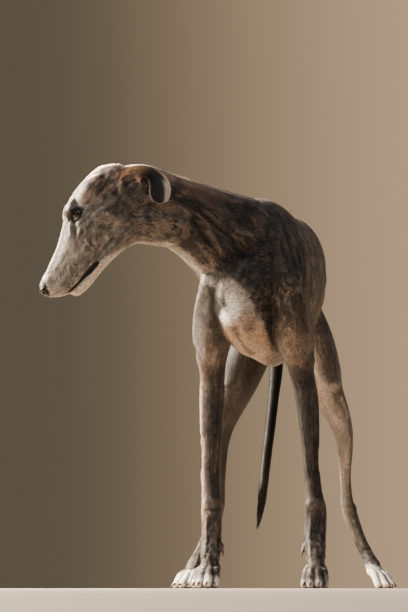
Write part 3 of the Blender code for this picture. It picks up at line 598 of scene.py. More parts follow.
@dataclass(frozen=True)
class Skull:
    """The head's sections and rounded forms, in the head's own places."""

    sections: tuple = (
        (-0.0045, -0.003, -0.021, 0.0120),
        (0.003, 0.002, -0.0305, 0.0172),
        (0.014, 0.006, -0.0410, 0.0198),
        (0.030, 0.008, -0.0490, 0.0215),
        (0.048, 0.013, -0.0490, 0.0235),
        (0.070, 0.019, -0.049, 0.0260),
        (0.090, 0.027, -0.050, 0.0295),
        (0.108, 0.0355, -0.052, 0.0340),
        (0.124, 0.0455, -0.055, 0.0390),
        (0.142, 0.0530, -0.058, 0.0430),
        (0.162, 0.0565, -0.062, 0.0455),
        (0.184, 0.0570, -0.066, 0.0455),
        (0.206, 0.0540, -0.066, 0.0430),
        (0.228, 0.0485, -0.062, 0.0400),
        (0.250, 0.0320, -0.056, 0.0350),
    )
    jaw: tuple = (
        (0.026, -0.046, -0.0570, 0.0080),
        (0.035, -0.046, -0.0630, 0.0125),
        (0.056, -0.044, -0.0665, 0.0160),
        (0.080, -0.044, -0.0660, 0.0190),
        (0.104, -0.044, -0.0665, 0.0230),
        (0.130, -0.044, -0.0695, 0.0290),
        (0.150, -0.044, -0.0745, 0.0340),
        (0.170, -0.040, -0.0860, 0.0370),
        (0.190, -0.036, -0.0920, 0.0340),
    )
    nape: tuple = ((0.205, 0.000, 0.0375), (0.240, -0.020, 0.0400), (0.256, -0.051, 0.0370))
    gullet: tuple = (
        (0.150, -0.046, 0.0270),
        (0.185, -0.057, 0.0350),
        (0.210, -0.078, 0.0400),
        (0.226, -0.100, 0.0410),
    )
    balls: tuple = (
        ((0.136, 0.040, 0.0200), 0.0130, (0.95, 1.45, 0.85)),
        ((0.168, -0.034, 0.0250), 0.020, (0.90, 1.65, 1.35)),
        ((0.180, 0.026, 0.0225), 0.022, (0.95, 1.75, 1.15)),
        ((0.0065, -0.0105, 0.0090), 0.0078, (0.95, 1.10, 1.15)),
    )
    cheekbone: tuple = (
        (0.108, 0.004, 0.0240, 0.0080),
        (0.134, 0.000, 0.0335, 0.0090),
        (0.160, -0.006, 0.0385, 0.0095),
        (0.192, -0.008, 0.0370, 0.0085),
    )
    lip: tuple = (
        (0.026, -0.0405, 0.0120, 0.0048),
        (0.042, -0.0420, 0.0125, 0.0048),
        (0.058, -0.0420, 0.0135, 0.0048),
        (0.074, -0.0440, 0.0145, 0.0048),
        (0.096, -0.0465, 0.0170, 0.0048),
    )
    mouth: tuple = (
        (0.012, -0.0400),
        (0.026, -0.0450),
        (0.042, -0.0480),
        (0.058, -0.0490),
        (0.074, -0.0510),
        (0.092, -0.0520),
    )
    eye: tuple[float, float, float] = (0.1345, 0.0235, 0.0255)
    eye_radius: float = 0.0108
    lid: float = 0.0036
    eye_looks: tuple[float, float, float] = (0.48, 0.84, 0.26)
    eye_slant: tuple[float, float, float] = (-0.95, 0.35, -0.08)

    def section_loft(self, rows: Sequence, widest: float, crown: float) -> Shell:
        """A loft through head sections: an oval whose widest place lies a share below the top."""
        rows = smooth_rows(rows, 8)
        angle = round_turn(56)[None]
        c, s = np.cos(angle), np.sin(angle)
        back, top, bottom, half = (rows[:, k, None] for k in range(4))
        middle = top - widest * (top - bottom)
        left = half * np.sign(c) * np.abs(c) ** np.where(s < 0, 1.0, crown)
        up = middle + np.where(s > 0, (top - middle) * s, (middle - bottom) * s)
        return loft(HEAD.at(back, up, left))

    def shells(self) -> list[Shell]:
        """Every form of the head that the melt joins."""
        turn = np.stack([HEAD.axes[2], HEAD.axes[0], HEAD.axes[1]], 1)
        made = [self.section_loft(self.sections, 0.56, 0.9), self.section_loft(self.jaw, 0.35, 0.8)]
        for side in Side:
            back, up, out = self.eye
            made.append(ball(HEAD.at(back, up, side.value * out), self.eye_radius + self.lid))
            for (b, u, o), radius, scale in self.balls:
                made.append(ball(HEAD.at(b, u, side.value * o), radius, scale, turn))
            for rows in (self.cheekbone, self.lip):
                made.append(chain([(*HEAD.at(b, u, side.value * o), r) for b, u, o, r in rows]))
        made += [chain([(*HEAD.at(b, u), r) for b, u, r in rows]) for rows in (self.nape, self.gullet)]
        return made

    def eye_centre(self, side: Side) -> Array:
        """The middle of one eyeball."""
        back, up, out = self.eye
        return HEAD.at(back, up, side.value * out)

    def eye_axes(self, side: Side) -> Array:
        """Rows: along the lids' opening, across it and outward."""
        s = side.value
        out = HEAD.way(self.eye_looks[0], s * self.eye_looks[1], self.eye_looks[2])
        along = HEAD.way(self.eye_slant[0], s * self.eye_slant[1], self.eye_slant[2])
        along = unit(along - out * (along @ out))
        return np.stack([along, np.cross(out, along), out])

    def mouth_gap(self, back: Array, up: Array) -> Array:
        """Distance to the mouth's line, seen from the side."""
        line = np.asarray(self.mouth, float)
        flat = np.column_stack([line, 0 * line[:, 0]])
        return line_distance(np.column_stack([back, up, 0 * up]), flat)


SKULL = Skull()


@dataclass(frozen=True)
class Paw:
    """Toes, pads and claws of one paw: four toes in an arc."""

    label: str
    base: tuple[float, float]
    heading: float
    leg: Leg
    dewclaw: tuple | None = None
    spread: tuple = (-0.0135, -0.0056, 0.0056, 0.0135)
    reach: tuple = (0.026, 0.037, 0.037, 0.026)
    fan: tuple = (-0.13, -0.03, 0.03, 0.13)
    knuckle: tuple = (0.42, 0.0275, 0.0086)
    instep: tuple[float, float] = (0.93, 0.90)
    tip: float = 0.0084
    sink: float = 0.0006
    claw_length: float = 0.0120
    claw_dip: float = 0.0060
    claw_radius: float = 0.0029

    @property
    def ahead(self) -> Array:
        """Where the paw points."""
        return np.array((math.sin(self.heading), -math.cos(self.heading), 0))

    @property
    def aside(self) -> Array:
        """Across the paw, to the dog's left."""
        return np.array((math.cos(self.heading), math.sin(self.heading), 0))

    def toes(self) -> list[tuple[Array, Array]]:
        """Each toe's rows of centre and radius, with the way that it points."""
        base = np.array((*self.base, 0.0))
        made = []
        for spread, reach, fan in zip(self.spread, self.reach, self.fan):
            way = self.ahead * math.cos(fan) + self.aside * math.sin(fan)
            root = base + self.aside * spread * 0.72 - self.ahead * 0.010 + (0, 0, 0.036)
            knuckle = base + self.aside * spread + way * reach * self.knuckle[0] + (0, 0, self.knuckle[1])
            tip = base + self.aside * spread + way * reach + (0, 0, self.tip - self.sink)
            rows = np.array([(*root, 0.0092), (*knuckle, self.knuckle[2]), (*tip, self.tip)])
            made.append((rows, way))
        return made

    def shells(self) -> list[Shell]:
        """The paw's flesh."""
        made = [chain(rows) for rows, _ in self.toes()]
        turn = np.stack([self.aside, self.ahead, (0, 0, 1)], 1)
        heel = np.array((*self.base, 0.0)) + self.ahead * 0.008 + (0, 0, 0.0099)
        made.append(ball(heel, 0.0105, (1.2, 1.0, 1.0), turn))
        last = np.asarray(self.leg.sections[-1], float)
        instep = np.array((*self.base, 0.0)) - self.ahead * 0.004
        width = [last[3] * share for share in self.instep]
        made.append(chain(((*last[:3], width[0]), (instep[0], instep[1], 0.033, width[1]))))
        if self.dewclaw:
            made.append(ball(self.dewclaw[0], 0.0058, (1, 1, 1.5)))
        return made

    def claws(self) -> Shell:
        """Curved claws: a round section along root + way L t - down D t², thinner to the tip."""
        t = np.linspace(0, 1, 10)[:, None]
        roots = [(rows[2, :3] + way * self.tip * 0.45 + (0, 0, 0.0021), way) for rows, way in self.toes()]
        if self.dewclaw:
            place, way = np.array(self.dewclaw[0]), unit(np.array(self.dewclaw[1]))
            roots.append((place + way * 0.002, way))
        shells = []
        for root, way in roots:
            centre = root + way * self.claw_length * t + np.array((0, 0, -self.claw_dip)) * t * t
            radius = self.claw_radius * (1 - 0.8 * t**2.2)
            rows = np.column_stack([centre, radius * 0.86, radius])
            shells.append(tube(rows, np.cross(way, (0, 0, -1)), 18, 0))
        return joined(shells)


HIND_PAW = {side: HIND.at(side, 0.1935, 0.050, 0)[:2] for side in Side}
HIND_HEADING = {side: side.value * math.radians(34) - math.atan(HIND.slope) for side in Side}
# The fore paws: middle of the paw, heading in degrees, and the dew claw's place and way.
FORE_PAWS = {
    Side.LEFT: ((0.1055, 0.026), 2, ((0.0850, 0.0400, 0.0720), (-0.35, -0.45, -0.80))),
    Side.RIGHT: ((-0.0700, -0.040), -6, ((-0.0510, -0.0260, 0.0720), (0.35, -0.45, -0.80))),
}
PAWS = (
    *(
        Paw(f"fore_{side.label}", middle, math.radians(heading), FORELEGS[side], dewclaw)
        for side, (middle, heading, dewclaw) in FORE_PAWS.items()
    ),
    *(Paw(f"hind_{side.label}", tuple(HIND_PAW[side]), HIND_HEADING[side], HINDLEGS[side]) for side in Side),
)


@dataclass
class Located:
    """Where points lie on the body: shares of each centre line, place along it, and the way it runs."""

    weights: Array
    along: Array
    offset: Array
    tangent: Array
    nearest: Array


class Lines:
    """Centre lines of the trunk, neck, head, legs and tail, which place any point on the body.

    Each runs the way that the hair lies: back from the nose to the rump, and down the legs and tail.
    """

    names = ("trunk", "neck", "head", "fore_left", "fore_right", "hind_left", "hind_right", "tail")

    def __init__(self) -> None:
        """Gathers each line's places and radii."""
        self.lines: list[Array] = [TRUNK.centre_line()]
        neck = smooth_rows(NECK.sections, 1)[::-1]
        self.lines.append(np.column_stack([neck[:, :3], neck[:, 3:5].mean(1)]))
        skull = smooth_rows(SKULL.sections, 0)
        middle = HEAD.at(skull[:, 0], (skull[:, 1] + skull[:, 2]) / 2)
        self.lines.append(np.column_stack([middle, (skull[:, 3] + (skull[:, 1] - skull[:, 2]) / 2) / 2]))
        for leg in (*FORELEGS.values(), *HINDLEGS.values()):
            rows = np.asarray(leg.sections, float)[1:]
            paw = next(p for p in PAWS if p.leg is leg)
            toes = np.array((*(np.array((*paw.base, 0.016)) + paw.ahead * 0.030), 0.019))
            self.lines.append(np.vstack([np.column_stack([rows[:, :3], rows[:, 3:5].mean(1)]), toes]))
        self.lines.append(np.asarray(TAIL, float)[2:])

    def locate(self, points: Array) -> Located:
        """Places points on the lines: the line with the least distance in radii counts most.

        Args:
            points: N by 3.

        Returns:
            The places, worked out a block at a time.
        """
        blocks = [self._block(points[i : i + 20000]) for i in range(0, len(points), 20000)]
        return Located(*(np.concatenate(part) for part in zip(*blocks)))

    def _block(self, points: Array) -> tuple[Array, ...]:
        """One block of points against every line."""
        ratios, alongs, offsets, tangents = [], [], [], []
        for line in self.lines:
            a, b = line[:-1, :3], line[1:, :3]
            way = b - a
            length = np.linalg.norm(way, axis=1)
            reach = np.concatenate([[0], np.cumsum(length)[:-1]])
            rel = points[:, None] - a[None]
            t = np.clip((rel * way).sum(2) / (length**2), 0, 1)
            gap = rel - t[..., None] * way
            radius = line[:-1, 3] + t * (line[1:, 3] - line[:-1, 3])
            ratio = np.linalg.norm(gap, axis=2) / radius
            best = ratio.argmin(1)
            pick = np.arange(len(points))
            ratios.append(ratio[pick, best])
            alongs.append(reach[best] + t[pick, best] * length[best])
            offsets.append(gap[pick, best])
            tangents.append(way[best] / length[best, None])
        ratio = np.stack(ratios, 1)
        weights = np.exp(-9.0 * (ratio - ratio.min(1, keepdims=True)))
        weights /= weights.sum(1, keepdims=True)
        tangent = unit((weights[..., None] * np.stack(tangents, 1)).sum(1))
        return weights, np.stack(alongs, 1), np.stack(offsets, 1), tangent, ratio.argmin(1)


LINES = Lines()


@dataclass(frozen=True)
class Palette:
    """The coat's own colours, as sRGB hex."""

    dark: str = "#312e2c"
    brown: str = "#5b524b"
    tan: str = "#8c7a6d"
    grey: str = "#928f8a"
    cream: str = "#c2b9ad"
    white: str = "#f0ebe4"
    pink: str = "#ac958b"
    orange: str = "#ae917d"
    black: str = "#121010"
    tail: str = "#141211"

    def tones(self) -> dict[str, Array]:
        """Each colour in linear light, by its name."""
        return {name: np.array(hex_linear(code)) for name, code in vars(self).items()}


PALETTE = Palette()


@dataclass
class Canvas:
    """Places on the skin with their measures by name, and the colour painted on them so far."""

    points: Array
    normals: Array
    measures: dict[str, Array]
    colour: Array
    tones: dict[str, Array]

    def paint(self, amount: Array, name: str) -> None:
        """Lays one of the palette's colours over a share of each place."""
        self.colour = mix(self.colour, self.tones[name], np.clip(amount, 0, 1)[:, None])


@dataclass(frozen=True)
class Patch:
    """A painted patch: the share of a part, times amount + gain by a measure, times soft steps.

    Each step names a measure, its value where the patch ends and its value where the patch is full.
    """

    part: str
    tone: str
    amount: float
    steps: tuple[tuple[str, float, float], ...]
    by: str = "speck"
    gain: float = 0.0

    def on(self, canvas: Canvas) -> None:
        """Paints the patch."""
        share = canvas.measures[self.part] * (self.amount + self.gain * canvas.measures[self.by])
        for name, end, full in self.steps:
            share = share * ease(end, full, canvas.measures[name])
        canvas.paint(share, self.tone)


@dataclass(frozen=True)
class Markings:
    """Brindle stripes, the greyed face, the pale throat and breast, and the white toes, by place on the body."""

    stripe: float = 0.0062
    stripe_length: float = 0.034
    streak: float = 0.0042
    streak_length: float = 0.015
    breast: tuple = (
        (-0.168, -0.186, 0.571, 0.016),
        (-0.130, -0.178, 0.567, 0.019),
        (-0.107, -0.142, 0.555, 0.021),
        (-0.092, -0.120, 0.542, 0.021),
        (-0.068, -0.114, 0.523, 0.023),
        (-0.040, -0.120, 0.502, 0.027),
        (-0.023, -0.125, 0.483, 0.029),
        (-0.011, -0.118, 0.458, 0.031),
        (-0.005, -0.090, 0.435, 0.035),
        (-0.004, -0.060, 0.420, 0.039),
        (0.002, -0.010, 0.404, 0.039),
        (0.012, 0.060, 0.398, 0.018),
    )
    breast_limit: tuple = (
        (0.400, -0.014),
        (0.420, -0.033),
        (0.458, -0.039),
        (0.475, -0.026),
        (0.538, -0.083),
        (0.56, -0.30),
    )
    # The brightest place on the breast, which gets a painted highlight in white.
    breast_highlight: tuple[float, float, float] = (-0.0285, -0.127, 0.466)
    jaw_edge: tuple = ((0.020, -0.0520), (0.105, -0.0550), (0.167, -0.0843), (0.200, -0.1424))
    limbs: tuple[Patch, ...] = (
        Patch("trunk", "pink", 0.75, (("y", 0.24, 0.38), ("normal_z", -0.55, -0.92))),
        Patch("hind_left", "pink", 0.70, (("normal_x", 0.10, -0.60), ("z", 0.56, 0.48), ("z", 0.09, 0.17))),
        Patch("hind_left", "grey", 0.30, (("front", 0.15, 0.75), ("ragged_z", 0.42, 0.34)), "blotch", 0.45),
        Patch("hind_left", "brown", 0.35, (("z", 0.26, 0.16),)),
        Patch("hind_left", "tan", 0.85, (("z", 0.54, 0.44), ("z", 0.30, 0.36)), "speck", -0.425),
        Patch("hind_left", "grey", 0.30, (("z", 0.54, 0.44), ("z", 0.26, 0.34))),
        Patch("fore_left", "tan", 0.15, (("z", 0.36, 0.46),), "fleck", 0.35),
        Patch("hind_right", "dark", 0.65, (("z", 0.56, 0.50), ("z", 0.10, 0.20))),
        Patch("hind_right", "grey", 0.20, (("normal_y", -0.3, -0.9), ("ragged_z", 0.36, 0.20))),
        # Painted sheen: the right upper arm's outer face, turned to the key light, is painted grey.
        Patch(
            "fore_right",
            "grey",
            0.20,
            (("normal_x", -0.1, -0.7), ("z", 0.54, 0.50), ("z", 0.38, 0.41)),
            "mottle",
            0.35,
        ),
        # Painted highlight: the right foreleg's side turned to the key light is painted orange.
        Patch("fore_right", "orange", 0.85, (("normal_x", -0.35, -0.75), ("z", 0.41, 0.36), ("z", 0.06, 0.12))),
        Patch("fore_left", "dark", 0.45, (("z", 0.40, 0.30), ("z", 0.05, 0.10))),
        # Painted shade: the right foreleg's side turned away from the key light is painted darker.
        Patch("fore_right", "dark", 0.22, (("normal_x", -0.30, 0.25), ("z", 0.40, 0.30))),
    )
    feet: tuple = (
        ("fore_left", 0.175, 0.012),
        ("fore_right", 0.170, 0.017),
        ("hind_left", 0.16, 0.044),
        ("hind_right", 0.16, 0.030),
    )

    def brindle(self, points: Array, found: Located) -> Array:
        """Share of dark: noise squeezed along each centre line, so that stripes run round the body."""
        total = np.zeros(len(points))
        warp = layered_noise(points / 0.030, 3, 2) - 0.5
        blotch = layered_noise(points / 0.040, 23, 2)
        for i in range(found.weights.shape[1]):
            mask = found.weights[:, i] > 0.02
            if not mask.any():
                continue
            offset = found.offset[mask, i]
            flat = offset[:, :2] if i > 2 else offset[:, [0, 2]]
            along = (found.along[mask, i] + 0.022 * warp[mask]) / self.stripe
            spot = np.column_stack([along, flat / self.stripe_length + 7.3 * i])
            total[mask] += found.weights[mask, i] * layered_noise(spot, 11 + 5 * i, 3)
        calm = 0.35 * found.weights[:, 3:7].sum(1) + 0.40 * found.weights[:, 2]
        return ease(0.40, 0.55, 0.30 * total + 0.22 * blotch + 0.48 * self.streaks(found)) * (1 - calm)

    def streaks(self, found: Located) -> Array:
        """Fine streaks that run with the hair: noise drawn out along the nearest centre line."""
        pick = np.arange(len(found.nearest))
        along = found.along[pick, found.nearest] / self.streak_length
        flat = found.offset[pick, found.nearest] / self.streak
        return layered_noise(np.column_stack([along, flat[:, 0] + flat[:, 1], flat[:, 2]]), 83, 2)

    def measures(self, points: Array, normals: Array, found: Located) -> dict[str, Array]:
        """Named measures of each place: its part's share, its place, the way it faces, and noise.

        Args:
            points: N by 3.
            normals: outward directions.
            found: the points on the centre lines.

        Returns:
            One array a name.
        """
        made = {name: found.weights[:, i] for i, name in enumerate(LINES.names)}
        made |= dict(zip(("x", "y", "z"), points.T)) | dict(zip(("normal_x", "normal_y", "normal_z"), normals.T))
        made["patch"] = layered_noise(points / 0.050, 31, 3)
        made["speck"] = speck = layered_noise(points / 0.0045, 41, 2)
        made["ragged"] = ragged = (layered_noise(points / 0.012, 51, 3) - 0.5) * 0.020
        made["blotch"] = ease(0.35, 0.65, layered_noise(points / 0.016, 61, 3))
        made["fleck"] = ease(0.45, 0.6, speck)
        made["mottle"] = ease(0.4, 0.6, speck)
        made["tail_fleck"] = ease(0.42, 0.20, made["z"]) * made["fleck"]
        made["front"] = -made["normal_y"] - 0.5 * made["normal_x"]
        made["ragged_z"] = made["z"] + ragged
        made["toe_z"] = made["z"] + ragged * 0.9
        return made

    def colour(self, points: Array, normals: Array, found: Located) -> tuple[Array, Array, Array]:
        """Colours of places on the skin.

        Args:
            points: N by 3, before the stance is shifted.
            normals: outward directions.
            found: the points on the centre lines.

        Returns:
            Linear colour, share of bare leather, and share of whisker bed.
        """
        tones, given = PALETTE.tones(), self.measures(points, normals, found)
        x, y, z, patch = (given[name] for name in ("x", "y", "z", "patch"))
        dark = self.brindle(points, found)
        light = mix(tones["brown"], tones["tan"], 0.50 * ease(0.40, 0.66, patch)[:, None])
        canvas = Canvas(points, normals, given, mix(light, tones["dark"], dark[:, None]), tones)
        # The top of the neck, where it faces up on the dog's right towards the key light, is painted lighter and
        # warmer as painted highlight, and the whole coat is a little grizzled.
        lit_crest = given["neck"] * ease(0.0, 0.50, normals[:, 2]) * ease(-0.01, -0.07, x)
        canvas.paint(lit_crest * (0.80 + 0.20 * ease(0.35, 0.6, patch)) * (1 - 0.30 * dark), "orange")
        flank = given["trunk"] * ease(0.02, 0.12, y)
        canvas.paint(flank * (0.40 + 0.35 * ease(0.4, 0.6, patch)) * (1 - 0.55 * dark), "tan")
        canvas.paint(0.16 * ease(0.5, 0.75, given["speck"]), "grey")
        for rows in (self.limbs, self._feet_and_tail()):
            for row in rows:
                row.on(canvas)
        # Painted shade in the creases between the toes.
        canvas.paint(self.toe_crease_shade(points) * 0.85, "dark")
        pale = self._breast(canvas)
        canvas.paint(pale * (0.50 + 0.14 * patch), "cream")
        canvas.paint(pale * ease(0.475, 0.425, z) * 0.75, "orange")
        canvas.paint(pale * ease(0.470, 0.425, z) * 0.30, "brown")
        # Painted highlight: white at the breast's brightest place.
        canvas.paint(pale * ease(0.030, 0.010, np.linalg.norm(points - self.breast_highlight, axis=1)), "white")
        leather, whiskers = self._face(canvas)
        pads = ease(0.0045, 0.0015, z) * ease(-0.5, -0.9, normals[:, 2])
        canvas.paint(pads, "black")
        return canvas.colour, np.maximum(leather, pads), whiskers

    def _feet_and_tail(self) -> list[Patch]:
        """Flecked pasterns, white toes and the dark tail."""
        made = []
        for name, top, full in self.feet:
            made.append(Patch(name, "grey", 0.42, (("z", top, 0.06), ("speck", 0.46, 0.68))))
            made.append(Patch(name, "dark", 0.55, (("z", top, 0.06), ("speck", 0.56, 0.38))))
            made.append(Patch(name, "white", 0.80, (("toe_z", full + 0.010, full - 0.006),), "speck", 0.20))
        return [*made, Patch("tail", "tail", 0.98, (), "tail_fleck", -0.20)]

    def _breast(self, canvas: Canvas) -> Array:
        """Share of the pale throat and breast: near their line, facing down, and on the dog's left of a limit."""
        given, line = canvas.measures, np.asarray(self.breast, float)
        pairs = [line[i : i + 2] for i in range(len(line) - 1)]
        gap = np.min([line_distance(canvas.points, pair[:, :3]) / pair[:, 3].mean() for pair in pairs], axis=0)
        share = (given["trunk"] + given["neck"] + 0.7 * given["fore_right"]).clip(0, 1)
        height, across = np.asarray(self.breast_limit, float).T
        near_side = ease(-0.003, 0.004, given["x"] - np.interp(given["z"], height, across) + given["ragged"] * 0.3)
        low = ease(0.40, 0.0, given["normal_z"]) * share
        return ease(1.10, 0.92, gap + given["ragged"] * 3) * low * np.where(given["z"] < 0.400, 1, near_side)

    def toe_crease_shade(self, points: Array) -> Array:
        """Share of painted shade in the crease between two toes: where a place is as near to one toe's line as to
        the next.
        """
        total = np.zeros(len(points))
        for paw in PAWS:
            aside = np.linalg.norm(points[:, :2] - paw.base, axis=1)
            near = np.nonzero((points[:, 2] < 0.040) & (aside < 0.07))[0]
            if not len(near):
                continue
            reach = np.sort([line_distance(points[near], rows[:, :3]) for rows, _ in paw.toes()], axis=0)
            between = np.exp(-(((reach[1] - reach[0]) / 0.0026) ** 2)) * ease(0.040, 0.030, points[near, 2])
            total[near] = np.maximum(total[near], between)
        return total

    def _face(self, canvas: Canvas) -> tuple[Array, Array]:
        """Paints the greyed face, lips, nose and eye rims.

        Args:
            canvas: the places.

        Returns:
            Share of leather and share of whisker bed.
        """
        points, ragged, paint = canvas.points, canvas.measures["ragged"], canvas.paint
        back, up, left = HEAD.local(points).T
        aside = np.abs(left)
        head = ease(0.285, 0.255, back) * ease(0.09, 0.07, aside) * ease(-0.13, -0.11, up)
        head = head * ease(-0.05, -0.03, back)
        grizzle = ease(0.35, 0.60, layered_noise(np.column_stack([back / 0.014, up / 0.0045, left / 0.010]), 71, 3))
        paint(head * ease(0.02, 0.08, back) * ease(0.20, 0.14, back) * 0.40, "dark")
        paint(head * ease(0.12, 0.17, back) * grizzle * ease(-0.03, 0.02, up) * 0.60, "orange")
        paint(head * ease(0.21, 0.13, back + ragged) * (0.16 + 0.36 * grizzle), "grey")
        paint(head * ease(0.17, 0.23, back) * grizzle * 0.22, "grey")
        high = 0.24 + 0.60 * ease(-0.034, -0.014, up - 0.10 * back + ragged)
        paint(head * ease(0.118, 0.070, back + ragged * 1.5) * high * (0.6 + 0.4 * grizzle), "cream")
        # A pale band along the top of the muzzle and skull, only where the skin faces up: partly the pale face,
        # partly painted highlight from above.
        lit_ridge = ease(0.036, 0.012, aside + ragged) * ease(0.0, 0.8, canvas.normals @ HEAD.axes[1])
        paint(head * lit_ridge * (0.58 - 0.30 * ease(0.19, 0.25, back)) * (0.55 + 0.45 * grizzle), "cream")
        shade = ease(0.012, 0.0, np.abs(up + 0.030 - 0.10 * (back - 0.03)))
        paint(head * shade * ease(0.10, 0.06, back) * ease(0.015, 0.03, back) * 0.25, "dark")
        # Cheek and temple keep some brindle under the grey, and the underside of the jaw is pale.
        behind, below = np.asarray(self.jaw_edge, float).T
        under = ease(0.0035, -0.0035, up - np.interp(back, behind, below) + ragged * 0.25)
        paint(head * under * ease(0.235, 0.20, back) * 0.90, "cream")
        for b, u in ((0.1615, -0.0148), (0.1326, -0.0387)):
            paint(head * ease(0.0048, 0.0015, np.hypot(back - b, up - u)) * 0.55, "cream")
        lip = head * self._lip(back, up, ragged) * ease(0.003, 0.007, aside)
        paint(lip, "black")
        chin = ease(0.044, 0.034, back) * ease(-0.0475, -0.0515, up) * ease(-0.062, -0.058, up)
        paint(head * chin * 0.55, "pink")
        nose = ease(0.0015, -0.0015, (back - 0.0105) * 0.874 - (up + 0.008) * 0.485 + ragged * 0.06)
        nose = nose * ease(0.02, 0.015, aside) * ease(-0.0375, -0.0335, up)
        paint(nose, "black")
        for side in Side:
            brow = np.linalg.norm(points - SKULL.eye_centre(side), axis=1)
            paint(head * ease(0.030, 0.016, brow) * (0.20 + 0.25 * grizzle), "grey")
        paint(self._rims(points) * head, "black")
        bed = head * ease(0.020, 0.030, back) * ease(0.078, 0.064, back) * ease(0.006, 0.012, aside)
        return np.maximum(nose, 0.8 * lip), bed * ease(-0.004, -0.012, up) * ease(-0.044, -0.038, up)

    def _lip(self, back: Array, up: Array, ragged: Array) -> Array:
        """Share of dark lip: near the mouth's line, broadest a third of the way along, less below than above."""
        line, height = np.asarray(SKULL.mouth, float).T
        width = 0.0022 + 0.0036 * np.exp(-(((back - 0.078) / 0.018) ** 2))
        above = np.where(up > np.interp(back, line, height), 0.95, 0.70)
        return ease(1.25, 0.65, (SKULL.mouth_gap(back, up) + ragged * 0.05) / (width * above))

    def _rims(self, points: Array) -> Array:
        """Share of dark rim: an oval round each eye, and the tear line before it."""
        rims = np.zeros(len(points))
        for side in Side:
            rel = (points - SKULL.eye_centre(side)) @ SKULL.eye_axes(side).T
            oval = np.hypot(rel[:, 0] / 0.0135, rel[:, 1] / 0.0092)
            rims = np.maximum(rims, ease(1.35, 0.85, oval) * (rel[:, 2] > 0))
            tear = line_distance(rel, np.array(((-0.010, -0.004, 0.008), (-0.020, -0.010, 0.004))))
            rims = np.maximum(rims, 0.6 * ease(0.004, 0.001, tear))
        return rims


MARKINGS = Markings()


@dataclass(frozen=True)
class Relief:
    """A soft ridge, or a hollow where the height is below nought: height times exp(-(distance / radius)²)."""

    line: Array
    radius: float
    height: float

    def push(self, points: Array) -> tuple[Array, Array]:
        """How far near points move along their normals.

        Args:
            points: N by 3.

        Returns:
            The indices of the near points and their moves.
        """
        low, high = self.line.min(0) - 2.6 * self.radius, self.line.max(0) + 2.6 * self.radius
        near = np.nonzero(((points > low) & (points < high)).all(1))[0]
        gap = line_distance(points[near], self.line)
        return near, self.height * np.exp(-((gap / self.radius) ** 2))


BOTH = True


